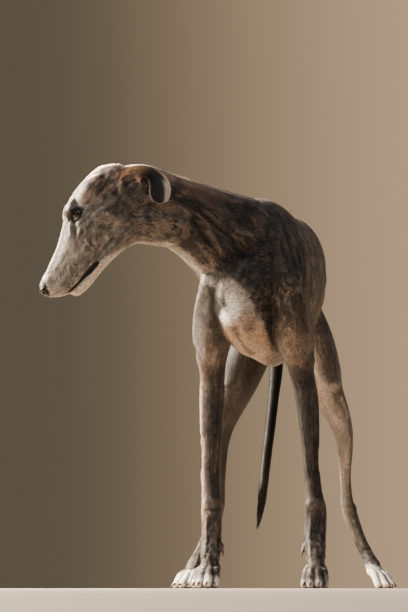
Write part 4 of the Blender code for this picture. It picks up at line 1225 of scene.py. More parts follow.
@dataclass
class Anatomy:
    """Muscles, tendons, ribs, veins and folds, each as a relief placed from the body's own sections.

    A row of a table has the places that a relief runs through, then its radius and its height. FACE and
    FACE_MIDDLE are in millimetres: back from the nose tip, up, and out to the side.
    """

    reliefs: list[Relief] = field(default_factory=list)
    gain: float = 1.9

    FORELEG: ClassVar[tuple] = (
        (((0.650, 1.0, -0.1), (0.600, 1.0, 0.1), (0.535, 1.0, 0.45)), 0.008, 0.0026),
        (((0.640, 1.0, 0.55), (0.590, 1.0, 0.65), (0.545, 1.0, 0.85)), 0.011, -0.0022),
        (((0.635, 1.0, -0.75), (0.580, 1.0, -0.50), (0.520, 1.0, -0.10)), 0.011, -0.0024),
        (((0.512, 0.75, 0.85),), 0.018, 0.0042),
        (((0.590, 1.0, -0.70), (0.520, 1.0, -0.55), (0.445, 1.0, -0.50)), 0.020, 0.0036),
        (((0.520, 1.0, 0.10), (0.470, 1.0, -0.05), (0.430, 1.0, -0.20)), 0.008, -0.0030),
        (((0.490, 1.0, 0.65), (0.450, 0.9, 0.60), (0.425, 0.8, 0.60)), 0.013, 0.0026),
        (((0.420, 0.35, -0.95), (0.398, 0.30, -0.98)), 0.010, 0.0042),
        (((0.395, 1.0, 0.55), (0.345, 1.0, 0.50), (0.275, 0.8, 0.55)), 0.010, 0.0020),
        (((0.395, 1.0, 0.05), (0.330, 1.0, 0.00), (0.210, 1.0, 0.05)), 0.0055, -0.0021),
        (((0.385, 1.0, -0.55), (0.330, 1.0, -0.60), (0.255, 0.9, -0.60)), 0.010, 0.0016),
        (((0.360, -0.8, 0.55), (0.290, -0.8, 0.70), (0.200, -0.5, 0.85)), 0.0030, 0.0012),
        (((0.200, 0.3, -1.0), (0.165, 0.3, -0.95)), 0.0050, -0.0012),
        (((0.150, 0.5, 0.85), (0.150, -0.5, 0.85)), 0.0050, 0.0010),
        (((0.134, 0.6, 0.85), (0.134, -0.6, 0.85)), 0.0040, -0.0009),
        (((0.120, 0.45, 0.90), (0.090, 0.45, 0.95), (0.058, 0.60, 1.0)), 0.0034, 0.0011, BOTH),
        (((0.125, 0.0, -1.0),), 0.0062, 0.0052),
    )
    HINDLEG: ClassVar[tuple] = (
        (((0.560, 1.0, 0.15), (0.490, 1.0, 0.10), (0.430, 1.0, 0.20)), 0.010, -0.0036),
        (((0.570, 1.0, 0.65), (0.500, 1.0, 0.60), (0.440, 1.0, 0.65)), 0.024, 0.0040),
        (((0.560, 1.0, -0.40), (0.490, 1.0, -0.45), (0.430, 1.0, -0.35)), 0.022, 0.0036),
        (((0.540, 0.7, -0.85), (0.470, 0.8, -0.80), (0.410, 0.9, -0.60)), 0.007, -0.0024),
        (((0.408, 0.35, 0.95),), 0.012, 0.0036),
        (((0.385, 0.30, 0.95), (0.350, 0.40, 0.95)), 0.006, 0.0018),
        (((0.400, 1.0, -0.40), (0.355, 1.0, -0.45), (0.320, 1.0, -0.35)), 0.014, 0.0030),
        (((0.380, 1.0, 0.10), (0.330, 1.0, 0.05), (0.280, 1.0, 0.15)), 0.006, -0.0022),
        (((0.330, -1.0, 0.10), (0.270, -1.0, 0.00), (0.220, -1.0, 0.0)), 0.0028, 0.0010),
        (((0.290, 0.9, -0.95), (0.240, 0.6, -1.25), (0.208, 0.5, -1.45)), 0.0060, -0.0013, BOTH),
        (((0.170, 1.0, 0.10),), 0.0075, 0.0020),
        (((0.172, -1.0, 0.10),), 0.0075, 0.0020),
        (((0.140, 0.45, 0.95), (0.100, 0.45, 0.95), (0.055, 0.60, 1.0)), 0.0034, 0.0010, BOTH),
    )
    NECK_SIDE: ClassVar[tuple] = (
        (((0.95, 95), (0.70, 118), (0.45, 138), (0.22, 150)), 0.012, 0.0026),
        (((0.90, 72), (0.65, 88), (0.40, 104), (0.20, 118)), 0.009, -0.0026),
        (((0.90, 42), (0.60, 48), (0.30, 52)), 0.014, 0.0020),
        (((0.80, 24), (0.50, 26), (0.25, 22)), 0.009, -0.0014),
    )
    NECK_FOLDS: ClassVar[tuple] = (
        (0.60, -60, -130, 0.0045, -0.0013),
        (0.68, -55, -125, 0.0045, -0.0013),
        (0.76, -60, -120, 0.0045, -0.0013),
        (0.16, 50, 120, 0.0060, -0.0016),
        (0.10, 45, 110, 0.0060, -0.0016),
    )
    NECK_VEIN: ClassVar[tuple] = (
        (-0.0689, -0.1767, 0.6204),
        (-0.0496, -0.1588, 0.5942),
        (-0.0327, -0.1353, 0.5672),
        (-0.0200, -0.130, 0.540),
    )
    FACE_MIDDLE: ClassVar[tuple] = (
        (((120, 48), (150, 60), (190, 62)), 5.5, -1.6),
        (((195, 60), (225, 52), (246, 36)), 4.5, 1.4),
        (((-4, -17), (-3.5, -24), (3, -31)), 1.4, -1),
    )
    FACE: ClassVar[tuple] = (
        (((30, 4, 10), (75, 16, 11), (110, 32, 13)), 4.5, 1),
        (((22, -12, 22), (60, -14, 26), (95, -10, 31)), 7.5, -1),
        (((118, 20, 30), (105, 6, 29), (92, -10, 28)), 4.8, -1.4),
        (((112, 24, 26), (98, 12, 26)), 3.2, 0.8),
        (((112, 4, 33), (101, 0, 29), (97, -8, 28), (99.5, -16.5, 30)), 2.4, 1),
        (((116, 0, 34), (105, -5, 30), (100.5, -13, 29), (102.5, -23, 30)), 2, -1.1),
        (((120, -4, 36), (109, -10, 32), (104, -19, 30), (105.5, -30, 29)), 2.6, 1.1),
        (((124, -10, 37), (113, -17, 34), (108, -27, 31), (108.5, -37, 29)), 2, -1),
        (((128, -14, 38), (116, -24, 34), (111, -35, 31)), 2.6, 0.9),
        (((146, -4, 41), (176, -8, 43), (206, -10, 41)), 6, 1.2),
        (((140, -18, 38), (165, -52, 36)), 6, -1.6),
        (((165, -20, 40), (170, -45, 37)), 12, 1.6),
        (((205, 30, 36), (200, 0, 41), (196, -30, 40)), 7, -1.6),
        (((148, 46, 24), (140, 44, 30), (128, 38, 32)), 4, 1.3),
        (((34, -43, 20), (60, -42, 21), (90, -46, 24)), 3.6, 1),
        (((-3.6, -12.5, 6.6), (-2.6, -13.5, 10)), 2.4, -4.2),
        (((-2, -15, 11.8), (4, -16.5, 16.5)), 1.3, -1.6),
        (((-2.6, -7, 8), (1, -9, 13.5)), 2.2, 0.8),
        (((205, -6, 41), (222, 0, 41), (238, -2, 40), (250, -10, 38)), 3.6, 1.5),
        (((200, 4, 41), (215, 10, 40), (232, 12, 36)), 4, -1.1),
        (((208, -14, 41), (226, -10, 41), (242, -14, 39)), 3.2, -1),
    )
    EYE_FOLDS: ClassVar[tuple] = (
        (15, 165, 0.0150, 0.0112, 0.0016, -0.0009),
        (20, 160, 0.0175, 0.0150, 0.0026, 0.0010),
        (200, 340, 0.0145, 0.0110, 0.0016, -0.0006),
        (205, 335, 0.0165, 0.0145, 0.0024, 0.0005),
    )

    def add(self, places: Sequence, radius: float, height: float) -> None:
        """Adds one relief through places."""
        line = np.array([np.asarray(p, float) for p in places])
        line = line if len(line) > 1 else np.vstack([line, line + 1e-5])
        self.reliefs.append(Relief(line, radius, height * self.gain))

    def on_leg(self, leg: Leg, rows: Sequence) -> None:
        """Adds reliefs on a leg.

        Args:
            leg: the leg.
            rows: places by height, out and ahead, a radius and a height; BOTH at the end adds the inner side's.
        """
        for places, radius, height, *both in rows:
            for flip in (1, -1) if both else (1,):
                self.add([leg.at(z, flip * out, ahead) for z, out, ahead in places], radius, height)

    def on_barrel(self, side: Side, y: Array, degrees: Array, radius: float, height: float) -> None:
        """Adds a relief on the barrel.

        Args:
            side: the side that angles are counted up from.
            y: places along the body.
            degrees: angles, 90 at the back.
            radius: the relief's radius.
            height: the relief's height.
        """
        y, degrees = np.broadcast_arrays(np.asarray(y, float), np.asarray(degrees, float))
        angle = (0 if side is Side.LEFT else math.pi) + side.value * np.radians(degrees)
        self.add(np.atleast_2d(TRUNK.at(y, angle)), radius, height)

    def legs(self) -> None:
        """Shoulder blade, upper arm, forearm, wrist and pastern; thigh, knee, calf, heel tendon and hock."""
        for leg in FORELEGS.values():
            self.on_leg(leg, self.FORELEG)
        for leg in HINDLEGS.values():
            self.on_leg(leg, self.HINDLEG)

    def barrel(self) -> None:
        """Ribs, spine, loin, hip bones, flank and breast."""
        for side in Side:
            for number in range(10):
                degrees = np.linspace(62, -38, 8)
                y = 0.070 + 0.0265 * number + 0.050 * (1 - (degrees + 38) / 100)
                self.on_barrel(side, y, degrees, 0.0075, 0.00022 + 0.00004 * number)
            edge = np.linspace(15, -70, 8)
            for y, degrees, radius, height in (
                (0.385 - 0.0016 * (15 - edge), edge, 0.012, 0.0022),
                (np.linspace(0.33, 0.56, 6), 72, 0.009, -0.0016),
                (np.linspace(0.36, 0.54, 6), 52, 0.018, 0.0026),
                (0.556, 58, 0.013, 0.0034),
                (0.648, 30, 0.013, 0.0030),
                ((0.47, 0.50), (-12, -20), 0.036, -0.0050),
                ((0.40, 0.46, 0.50), (-40, -38, -30), 0.010, 0.0016),
                ((-0.085, -0.030, 0.03), (-48, -62, -66), 0.018, 0.0030),
                ((0.10, 0.10, 0.12), (40, 0, -40), 0.012, -0.0018),
            ):
                self.on_barrel(side, y, degrees, radius, height)
        for y in np.arange(0.300, 0.610, 0.027):
            self.on_barrel(Side.LEFT, y, 90, 0.0075, 0.0009)
        self.on_barrel(Side.LEFT, (-0.118, -0.07, -0.01), -90, 0.008, -0.0030)

    def throat(self) -> None:
        """Windpipe, the long muscles of the neck, and the folds that the turned neck makes."""
        for side in (1, -1):
            for rows, radius, height in self.NECK_SIDE:
                self.add([NECK.at(share, side * degrees) for share, degrees in rows], radius, height)
        self.add([NECK.at(share, 180) for share in (0.95, 0.6, 0.3)], 0.010, 0.0018)
        self.add(self.NECK_VEIN, 0.0040, 0.0014)
        self.add(np.array(self.NECK_VEIN) + (-0.004, -0.002, -0.012), 0.0070, -0.0016)
        shoulder = ((0.036, -0.020, 0.656), (0.0400, -0.0400, 0.630), (0.0438, -0.0608, 0.6053))
        self.add(shoulder, 0.0050, 0.0018)
        behind_arm = ((0.080, 0.030, 0.600), (0.088, 0.050, 0.550), (0.092, 0.070, 0.500), (0.090, 0.075, 0.455))
        self.add(behind_arm, 0.0070, -0.0024)
        for share, start, end, radius, height in self.NECK_FOLDS:
            self.add([NECK.at(share, degrees) for degrees in np.linspace(start, end, 5)], radius, height)

    def face(self) -> None:
        """Brow furrow, bridge, tear line, cheek folds, lips, nose, temple and the folds round the eyes."""
        millimetre = 0.001
        for places, radius, height in self.FACE_MIDDLE:
            spots = np.array(places) * millimetre
            self.add([HEAD.at(back, up) for back, up in spots], radius * millimetre, height * millimetre)
        for side in Side:
            for places, radius, height in self.FACE:
                spots = np.array(places) * millimetre
                line = [HEAD.at(back, up, side.value * out) for back, up, out in spots]
                self.add(line, radius * millimetre, height * millimetre)
            self.brow(side)

    def brow(self, side: Side) -> None:
        """The crease and fold over the upper lid and the soft bag under the lower lid."""
        centre, axes = SKULL.eye_centre(side), SKULL.eye_axes(side)
        up = 1.0 if axes[1] @ HEAD.axes[1] > 0 else -1.0
        for start, end, long, high, radius, height in self.EYE_FOLDS:
            t = np.radians(np.linspace(start, end, 9))
            flat = np.column_stack([long * np.cos(t), up * high * np.sin(t)])
            out = np.sqrt(np.maximum((SKULL.eye_radius + 0.004) ** 2 - 0.55 * (flat**2).sum(1), 1e-6))
            self.add(centre + np.column_stack([flat, out]) @ axes, radius, height)

    def tail(self) -> None:
        """The bones that show along the upper side of the tail."""
        for row in smooth_rows(TAIL, 1)[3:-3]:
            self.add([row[:3] + (0, row[3], 0)], 0.0065, 0.0006)

    def moves(self, points: Array) -> Array:
        """All the reliefs added up, with the groove of the mouth.

        Args:
            points: the skin's points.

        Returns:
            How far each moves along its normal.
        """
        for part in (self.legs, self.barrel, self.throat, self.face, self.tail):
            part()
        total = np.zeros(len(points))
        for relief in self.reliefs:
            near, amount = relief.push(points)
            total[near] += amount
        back, up, left = HEAD.local(points).T
        beside = (np.abs(left) > 0.003) & (np.abs(left) < 0.05)
        return total - np.where(beside, 0.0017 * np.exp(-((SKULL.mouth_gap(back, up) / 0.0016) ** 2)), 0)


def vertex_normals(points: Array, faces: Array) -> Array:
    """Mean direction of the faces round each point, larger faces counting more."""
    across = np.cross(points[faces[:, 2]] - points[faces[:, 0]], points[faces[:, -1]] - points[faces[:, 1]])
    total = np.zeros_like(points)
    for corner in range(faces.shape[1]):
        for k in range(3):
            total[:, k] += np.bincount(faces[:, corner], weights=across[:, k], minlength=len(points))
    return unit(total)


def relaxed(points: Array, edges: Array, share: Array, rounds: int) -> Array:
    """Moves each point a share of the way to the mean of its neighbours, a number of times."""
    a, b = edges.T
    count = np.bincount(a, minlength=len(points)) + np.bincount(b, minlength=len(points))
    for _ in range(rounds):
        mean = np.stack(
            [
                np.bincount(a, weights=points[b, k], minlength=len(points))
                + np.bincount(b, weights=points[a, k], minlength=len(points))
                for k in range(3)
            ],
            1,
        )
        points = points + share[:, None] * (mean / count[:, None] - points)
    return points


def painted_form_shade(points: Array, normals: Array, edges: Array) -> Array:
    """Painted highlight and shade by form, for how light short hair looks: over 1 on tendons and bone, under 1 in
    the grooves beside them.

    Height is the share of (point - its relaxed place) along the normal, less the same height relaxed again.
    """
    whole = np.full(len(points), 0.8)
    height = ((points - relaxed(points, edges, whole, 10)) * normals).sum(1)
    height -= relaxed(np.repeat(height[:, None], 3, 1), edges, whole, 30)[:, 0]
    return 1 + 0.32 * np.tanh(height / 0.00030)


def read(mesh: bpy.types.Mesh) -> tuple[Array, Array, Array]:
    """A mesh's points before the stance is shifted, its edges and its triangles."""
    points = np.zeros(len(mesh.vertices) * 3, np.float32)
    mesh.vertices.foreach_get("co", points)
    edges = np.zeros(len(mesh.edges) * 2, np.int32)
    mesh.edges.foreach_get("vertices", edges)
    mesh.calc_loop_triangles()
    faces = np.zeros(len(mesh.loop_triangles) * 3, np.int32)
    mesh.loop_triangles.foreach_get("vertices", faces)
    return points.reshape(-1, 3).astype(float) - STANCE, edges.reshape(-1, 2), faces.reshape(-1, 3)


def write_points(mesh: bpy.types.Mesh, points: Array) -> None:
    """Puts points back into a mesh, moved by STANCE."""
    mesh.vertices.foreach_set("co", (points + STANCE).astype(np.float32).ravel())
    mesh.update()


def placed(name: str, mesh: bpy.types.Mesh) -> bpy.types.Object:
    """An object at the origin that holds a mesh."""
    made = bpy.data.objects.new(name, mesh)
    bpy.context.scene.collection.objects.link(made)
    return made


def applied(thing: bpy.types.Object) -> bpy.types.Mesh:
    """The mesh that an object has after its modifiers; the object is removed."""
    name = thing.name
    graph = bpy.context.evaluated_depsgraph_get()
    mesh = bpy.data.meshes.new_from_object(thing.evaluated_get(graph))
    bpy.data.objects.remove(thing)
    mesh.name = name
    return mesh


def paint_points(mesh: bpy.types.Mesh, name: str, values: Array) -> None:
    """Stores a colour or a number on each point.

    Args:
        mesh: the mesh.
        name: the attribute.
        values: N by 3 colours, or N numbers.
    """
    if values.ndim == 2:
        layer = mesh.color_attributes.new(name, "FLOAT_COLOR", "POINT")
        full = np.column_stack([values, np.ones(len(values))]).astype(np.float32)
        layer.data.foreach_set("color", full.ravel())
    else:
        layer = mesh.attributes.new(name, "FLOAT", "POINT")
        layer.data.foreach_set("value", values.astype(np.float32))


def wire(tree: bpy.types.NodeTree, node: bpy.types.Node, inputs: dict) -> None:
    """Fills a node's inputs by name or number: an output socket is linked, and a value is set."""
    for key, value in inputs.items():
        if isinstance(value, bpy.types.NodeSocket):
            tree.links.new(value, node.inputs[key])
        else:
            node.inputs[key].default_value = value


def add_node(tree: bpy.types.NodeTree, kind: str, inputs: dict | None = None, **settings) -> bpy.types.Node:
    """Adds a shader node with its settings and links.

    Args:
        tree: the material's nodes.
        kind: the node's type, without the words that all share.
        inputs: values or output sockets by input name or number.
        settings: properties of the node.

    Returns:
        The node.
    """
    node = tree.nodes.new(f"ShaderNode{kind}")
    for key, value in settings.items():
        setattr(node, key, value)
    wire(tree, node, inputs or {})
    return node


def new_material(name: str) -> tuple[bpy.types.Material, bpy.types.NodeTree, bpy.types.Node]:
    """A material with its tree and its Principled shader."""
    made = bpy.data.materials.new(name)
    made.use_nodes = True
    return made, made.node_tree, made.node_tree.nodes["Principled BSDF"]


@dataclass(frozen=True)
class SleekCoat:
    """Short smooth hair: hairs 0.05 mm thick lie flat in strands about 1 mm wide, so the coat has a soft sheen.

    Strands and the wider locks that they gather in are drawn as noise stretched along the lie of the coat.
    """

    roughness: float = 0.52
    leather_roughness: float = 0.34
    sheen: float = 0.03
    sheen_roughness: float = 0.45
    specular: float = 0.35
    strand_mm: float = 1.1
    strand_length_mm: float = 11.0
    lock_mm: float = 3.2
    lock_length_mm: float = 16.0
    whisker_mm: float = 5.5
    whisker_tone: str = "#2b2522"
    pebble_mm: float = 1000 / 900
    bump: float = 0.0007

    def streaks(
        self, tree: bpy.types.NodeTree, place: bpy.types.NodeSocket, parts: Sequence, wide_mm: float, long_mm: float
    ) -> bpy.types.NodeSocket:
        """Noise drawn out along the lie of the coat: one noise for each axis, weighted by the lie's squared share.

        Args:
            tree: the material's nodes.
            place: the coordinates.
            parts: the three shares.
            wide_mm: width of a streak.
            long_mm: its length.

        Returns:
            The noise, from 0 to 1.
        """
        total = None
        for axis in range(3):
            scale = tuple(1000 / (long_mm if k == axis else wide_mm) for k in range(3))
            spot = add_node(tree, "Mapping", {"Vector": place, "Scale": scale}).outputs[0]
            noise = add_node(tree, "TexNoise", {"Vector": spot, "Scale": 1.0, "Detail": 2.0}).outputs[0]
            part = add_node(tree, "Math", {0: noise, 1: parts[axis]}, operation="MULTIPLY").outputs[0]
            total = part if total is None else add_node(tree, "Math", {0: total, 1: part}).outputs[0]
        return total

    def material(self) -> bpy.types.Material:
        """The skin's finish: painted markings under strands along the lie of the coat, and leather where bare."""
        made, tree, shader = new_material("short_smooth_coat")
        place = add_node(tree, "TexCoord").outputs["Object"]
        paint = add_node(tree, "Attribute", attribute_name="markings").outputs["Color"]
        leather = add_node(tree, "Attribute", attribute_name="leather").outputs["Fac"]
        bed = add_node(tree, "Attribute", attribute_name="whisker_bed").outputs["Fac"]
        lie = add_node(tree, "Attribute", attribute_name="lie_share").outputs["Color"]
        parts = add_node(tree, "SeparateColor", {0: lie}).outputs
        strands = self.streaks(tree, place, parts, self.strand_mm, self.strand_length_mm)
        locks = self.streaks(tree, place, parts, self.lock_mm, self.lock_length_mm)
        tone = add_node(tree, "MapRange", {0: strands, 1: 0.32, 2: 0.68, 3: 0.55, 4: 1.40}).outputs[0]
        wide = add_node(tree, "MapRange", {0: locks, 1: 0.34, 2: 0.66, 3: 0.62, 4: 1.38}).outputs[0]
        tone = add_node(tree, "Math", {0: tone, 1: wide}, operation="MULTIPLY").outputs[0]
        shade = add_node(tree, "VectorMath", {0: paint, 1: tone}, operation="MULTIPLY").outputs[0]
        # Each whisker grows from a dark dot.
        dots = add_node(tree, "TexVoronoi", {"Vector": place, "Scale": 1000 / self.whisker_mm}).outputs["Distance"]
        dot = add_node(tree, "MapRange", {0: dots, 1: 0.17, 2: 0.27, 3: 1.0, 4: 0.0}).outputs[0]
        dot = add_node(tree, "Math", {0: dot, 1: bed}, operation="MULTIPLY").outputs[0]
        dotted = {0: dot, 6: shade, 7: opaque(self.whisker_tone)}
        colour = add_node(tree, "Mix", dotted, data_type="RGBA").outputs[2]
        rough = add_node(tree, "MapRange", {0: leather, 3: self.roughness, 4: self.leather_roughness}).outputs[0]
        # The nose and pads have a pebbled surface instead of hair.
        pebble = add_node(tree, "TexVoronoi", {"Vector": place, "Scale": 1000 / self.pebble_mm}).outputs["Distance"]
        pebble = add_node(tree, "Math", {0: pebble, 1: leather}, operation="MULTIPLY").outputs[0]
        hair = add_node(tree, "MapRange", {0: leather, 3: 1.0, 4: 0.0}).outputs[0]
        hair = add_node(tree, "Math", {0: hair, 1: strands}, operation="MULTIPLY").outputs[0]
        height = add_node(tree, "Math", {0: hair, 1: pebble}, operation="ADD").outputs[0]
        bump = add_node(tree, "Bump", {"Height": height, "Strength": 0.45, "Distance": self.bump}).outputs[0]
        wire(tree, shader, {"Base Color": colour, "Roughness": rough, "Normal": bump})
        fixed = {"Sheen Weight": self.sheen, "Sheen Roughness": self.sheen_roughness}
        wire(tree, shader, fixed | {"Specular IOR Level": self.specular})
        return made


@dataclass(frozen=True)
class PaintedHair:
    """Hair over its painted marking colour, lighter and darker by the strand."""

    name: str
    scale: tuple[float, float, float]
    tones: tuple[float, float]
    roughness: float
    sheen: float
    specular: float = 0.5
    bump: float = 0.0

    def material(self) -> bpy.types.Material:
        """The finish: the markings times a noise, with a bump of the same noise where one is wanted."""
        made, tree, shader = new_material(self.name)
        place = add_node(tree, "TexCoord").outputs["Object"]
        paint = add_node(tree, "Attribute", attribute_name="markings").outputs["Color"]
        spot = add_node(tree, "Mapping", {"Vector": place, "Scale": self.scale}).outputs[0]
        hair = add_node(tree, "TexNoise", {"Vector": spot, "Scale": 1.0, "Detail": 2.0}).outputs[0]
        low, high = self.tones
        tone = add_node(tree, "MapRange", {0: hair, 1: 0.3, 2: 0.7, 3: low, 4: high}).outputs[0]
        shade = add_node(tree, "VectorMath", {0: paint, 1: tone}, operation="MULTIPLY").outputs[0]
        wire(tree, shader, {"Base Color": shade, "Roughness": self.roughness, "Sheen Weight": self.sheen})
        wire(tree, shader, {"Specular IOR Level": self.specular})
        if self.bump:
            bump = add_node(tree, "Bump", {"Height": hair, "Strength": self.bump, "Distance": 0.0005}).outputs[0]
            wire(tree, shader, {"Normal": bump})
        return made


@dataclass(frozen=True)
class Grained:
    """A bare surface whose fine grain picks between two colours and lifts it by up to 0.2 mm."""

    name: str
    dark: str
    light: str
    scale: tuple[float, float, float]
    roughness: float
    strength: float

    def material(self) -> bpy.types.Material:
        """The finish: one noise gives the colour and the bump."""
        made, tree, shader = new_material(self.name)
        place = add_node(tree, "TexCoord").outputs["Object"]
        spot = add_node(tree, "Mapping", {"Vector": place, "Scale": self.scale}).outputs[0]
        grain = add_node(tree, "TexNoise", {"Vector": spot, "Scale": 1.0, "Detail": 3.0}).outputs[0]
        tones = {0: grain, 6: opaque(self.dark), 7: opaque(self.light)}
        tone = add_node(tree, "Mix", tones, data_type="RGBA").outputs[2]
        bump = add_node(tree, "Bump", {"Height": grain, "Strength": self.strength, "Distance": 0.0002}).outputs[0]
        wire(tree, shader, {"Base Color": tone, "Roughness": self.roughness, "Normal": bump})
        return made


@dataclass(frozen=True)
class WetEye:
    """A wet cornea over a painted iris: glossy, with the eye's own IOR of 1.38, so it takes a small sharp light."""

    roughness: float = 0.06
    ior: float = 1.38
    tears: float = 0.6
    tears_roughness: float = 0.03

    def material(self) -> bpy.types.Material:
        """The eyeball's finish."""
        made, tree, shader = new_material("wet_eye")
        paint = add_node(tree, "Attribute", attribute_name="markings").outputs["Color"]
        wire(tree, shader, {"Base Color": paint, "Roughness": self.roughness, "IOR": self.ior})
        wire(tree, shader, {"Coat Weight": self.tears, "Coat Roughness": self.tears_roughness})
        return made


# The ear's thin skin has the shortest hair, in fine lines 1.4 mm wide, so it looks like felt.
THIN_HIDE = PaintedHair("thin_ear_hide", (700.0, 700.0, 130.0), (0.7, 1.25), 0.60, 0.15, bump=0.4)
# Tufts of short hair have their own marking colour with a soft sheen, so the coat doesn't look painted.
HAIR_TUFT = PaintedHair("short_hair_tufts", (900.0, 900.0, 900.0), (0.8, 1.2), 0.55, 0.05, 0.35)
# The lids' bare skin is dark and slightly moist, with wrinkles 0.6 mm apart, and gives the eye its dark rim.
LID_SKIN = Grained("bare_lid_skin", "#0c0a0a", "#2b2321", (1600.0, 1600.0, 1600.0), 0.38, 0.30)
# Claw horn is reddish where the quick shows through, with growth lines 0.6 mm apart and a dull polish.
CLAW_HORN = Grained("claw_horn", "#4f3530", "#8f7266", (300.0, 300.0, 1600.0), 0.36, 0.25)


@dataclass(frozen=True)
class Skin:
    """One skin for every node of flesh, melted from the same sizes and then given its relief and markings."""

    voxel: float = 0.0016
    quick_voxel: float = 0.0026
    rounds: int = 25
    coat_depth: float = 0.0010
    triangles: int = 188000
    levels: int = 4
    # How far the back and the rump sink, for room for their tufts, and the band over which they start to.
    back_sink: tuple[float, float, float] = (0.0034, 0.690, 0.722)
    rump_sink: tuple[float, float, float] = (0.0032, 0.692, 0.728)
    floor_gap: float = 0.0002
    # The opening of the lids: half its length, half its height, and how much its ends narrow.
    almond: tuple[float, float, float] = (0.0108, 0.0062, 0.22)
    lid_height: float = 0.0006

    def melt(self) -> bpy.types.Mesh:
        """Joins every form, melts them and smooths the joints."""
        shells = [TRUNK.shell(), NECK.shell(), chain(TAIL)]
        shells += [leg.shell() for leg in (*FORELEGS.values(), *HINDLEGS.values())]
        for side, rows in product(Side, (HIND.heel, HIND.tendon, HIND.web)):
            shells.append(chain([(*HIND.at(side, out, back, z), radius) for out, back, z, radius in rows]))
        shells += SKULL.shells()
        for paw in PAWS:
            shells += paw.shells()
        whole = placed("skin", joined(shells).mesh("skin"))
        melt = whole.modifiers.new("melt", "REMESH")
        melt.mode = "VOXEL"
        melt.voxel_size = self.voxel
        return applied(whole)

    def keep_fine(self, points: Array) -> Array:
        """Share of fineness: 1 on the head and the paws, 0 on the rest."""
        back, up, left = HEAD.local(points).T
        head = ease(0.26, 0.23, back) * ease(0.075, 0.06, np.abs(left)) * ease(-0.12, -0.10, up)
        return np.maximum(head, ease(0.088, 0.072, points[:, 2]))

    def open_lids(self, points: Array) -> Array:
        """Sinks the skin behind the eyeball inside an almond, and lifts it to a lid round the almond's edge."""
        long, high, narrow = self.almond
        for side in Side:
            centre, axes = SKULL.eye_centre(side), SKULL.eye_axes(side)
            rel = (points - centre) @ axes.T
            near = (np.linalg.norm(rel, axis=1) < 0.020) & (rel[:, 2] > 0.002)
            a, b, _ = rel[near].T
            almond = np.hypot(a / long, b / (high * (1 - narrow * (a / long) ** 2).clip(0.3)))
            length = np.linalg.norm(rel[near], axis=1)
            sunk = ease(1.02, 0.86, almond)
            target = np.where(sunk > 0, mix(length, SKULL.eye_radius - 0.0018, sunk), length)
            target += self.lid_height * np.exp(-(((almond - 1.18) / 0.22) ** 2))
            rel[near] *= (target / length)[:, None]
            points[near] = centre + rel[near] @ axes
        return points

    def build(self) -> bpy.types.Object:
        """Makes the skin with its relief.

        Returns:
            The object, before it is dressed.
        """
        mesh = self.melt()
        points, edges, faces = read(mesh)
        fine = self.keep_fine(points)
        share = 0.5 - 0.19 * fine - 0.24 * ease(0.088, 0.072, points[:, 2])
        step = (self.voxel / self.voxel) ** 2
        points = relaxed(points, edges, share, max(3, round(self.rounds * step)))
        normals = vertex_normals(points, faces)
        points += normals * (Anatomy().moves(points) - self.coat_depth)[:, None]
        points = relaxed(points, edges, np.full(len(points), 0.25), 1)
        points = self.open_lids(points)
        for axis, (depth, start, full) in ((2, self.back_sink), (1, self.rump_sink)):
            points[:, axis] -= depth * ease(start, full, points[:, axis])
        points[:, 2] = np.maximum(points[:, 2], self.floor_gap)
        write_points(mesh, points)
        made = placed("skin", mesh)
        made = self.reduced(made, fine, len(faces))
        made.name = "skin"
        made.data.shade_smooth()
        return made

    def reduced(self, whole: bpy.types.Object, fine: Array, faces: int) -> bpy.types.Object:
        """Thins the triangles, least where the skin is to stay fine.

        Args:
            whole: the skin.
            fine: share of fineness of each point.
            faces: how many triangles it has.

        Returns:
            The thinner skin.
        """
        group = whole.vertex_groups.new(name="coarse")
        for level in range(self.levels + 1):
            chosen = np.nonzero(np.round((1 - fine) * self.levels).astype(int) == level)[0]
            group.add(chosen.tolist(), level / self.levels, "REPLACE")
        reduce = whole.modifiers.new("reduce", "DECIMATE")
        reduce.ratio = min(1.0, self.triangles / faces)
        reduce.vertex_group = "coarse"
        reduce.vertex_group_factor = 1.0
        made = placed("skin", applied(whole))
        made.vertex_groups.clear()
        return made

    def dress(self, thing: bpy.types.Object, coat: bpy.types.Material) -> None:
        """Paints the markings with painted shade and highlight by form, and the lie of the coat, and gives the skin
        its finish.

        Args:
            thing: the skin.
            coat: its material.
        """
        points, edges, faces = read(thing.data)
        normals = vertex_normals(points, faces)
        found = LINES.locate(points)
        colour, leather, bed = MARKINGS.colour(points, normals, found)
        # Painted shade in grooves and painted highlight on tendons and bone, multiplied into the markings' colour.
        form = painted_form_shade(points, normals, edges)
        for name, values in (
            ("markings", colour * form[:, None]),
            ("form", form),
            ("leather", leather),
            ("whisker_bed", bed),
            ("lie_share", coat_lie(normals, found) ** 2),
        ):
            paint_points(thing.data, name, values)
        thing.data.materials.clear()
        thing.data.materials.append(coat)


def coat_lie(normals: Array, found: Located) -> Array:
    """Direction of the hair: back along the trunk, down the legs and neck, flat on the surface.

    Args:
        normals: outward directions.
        found: the points on the centre lines.

    Returns:
        Unit vectors.
    """
    way = found.tangent.copy()
    share = found.weights
    way[:, 2] -= 0.45 * (share[:, 0] + 0.8 * share[:, 1])
    flat = way - (way * normals).sum(1, keepdims=True) * normals
    return unit(flat + 1e-6)


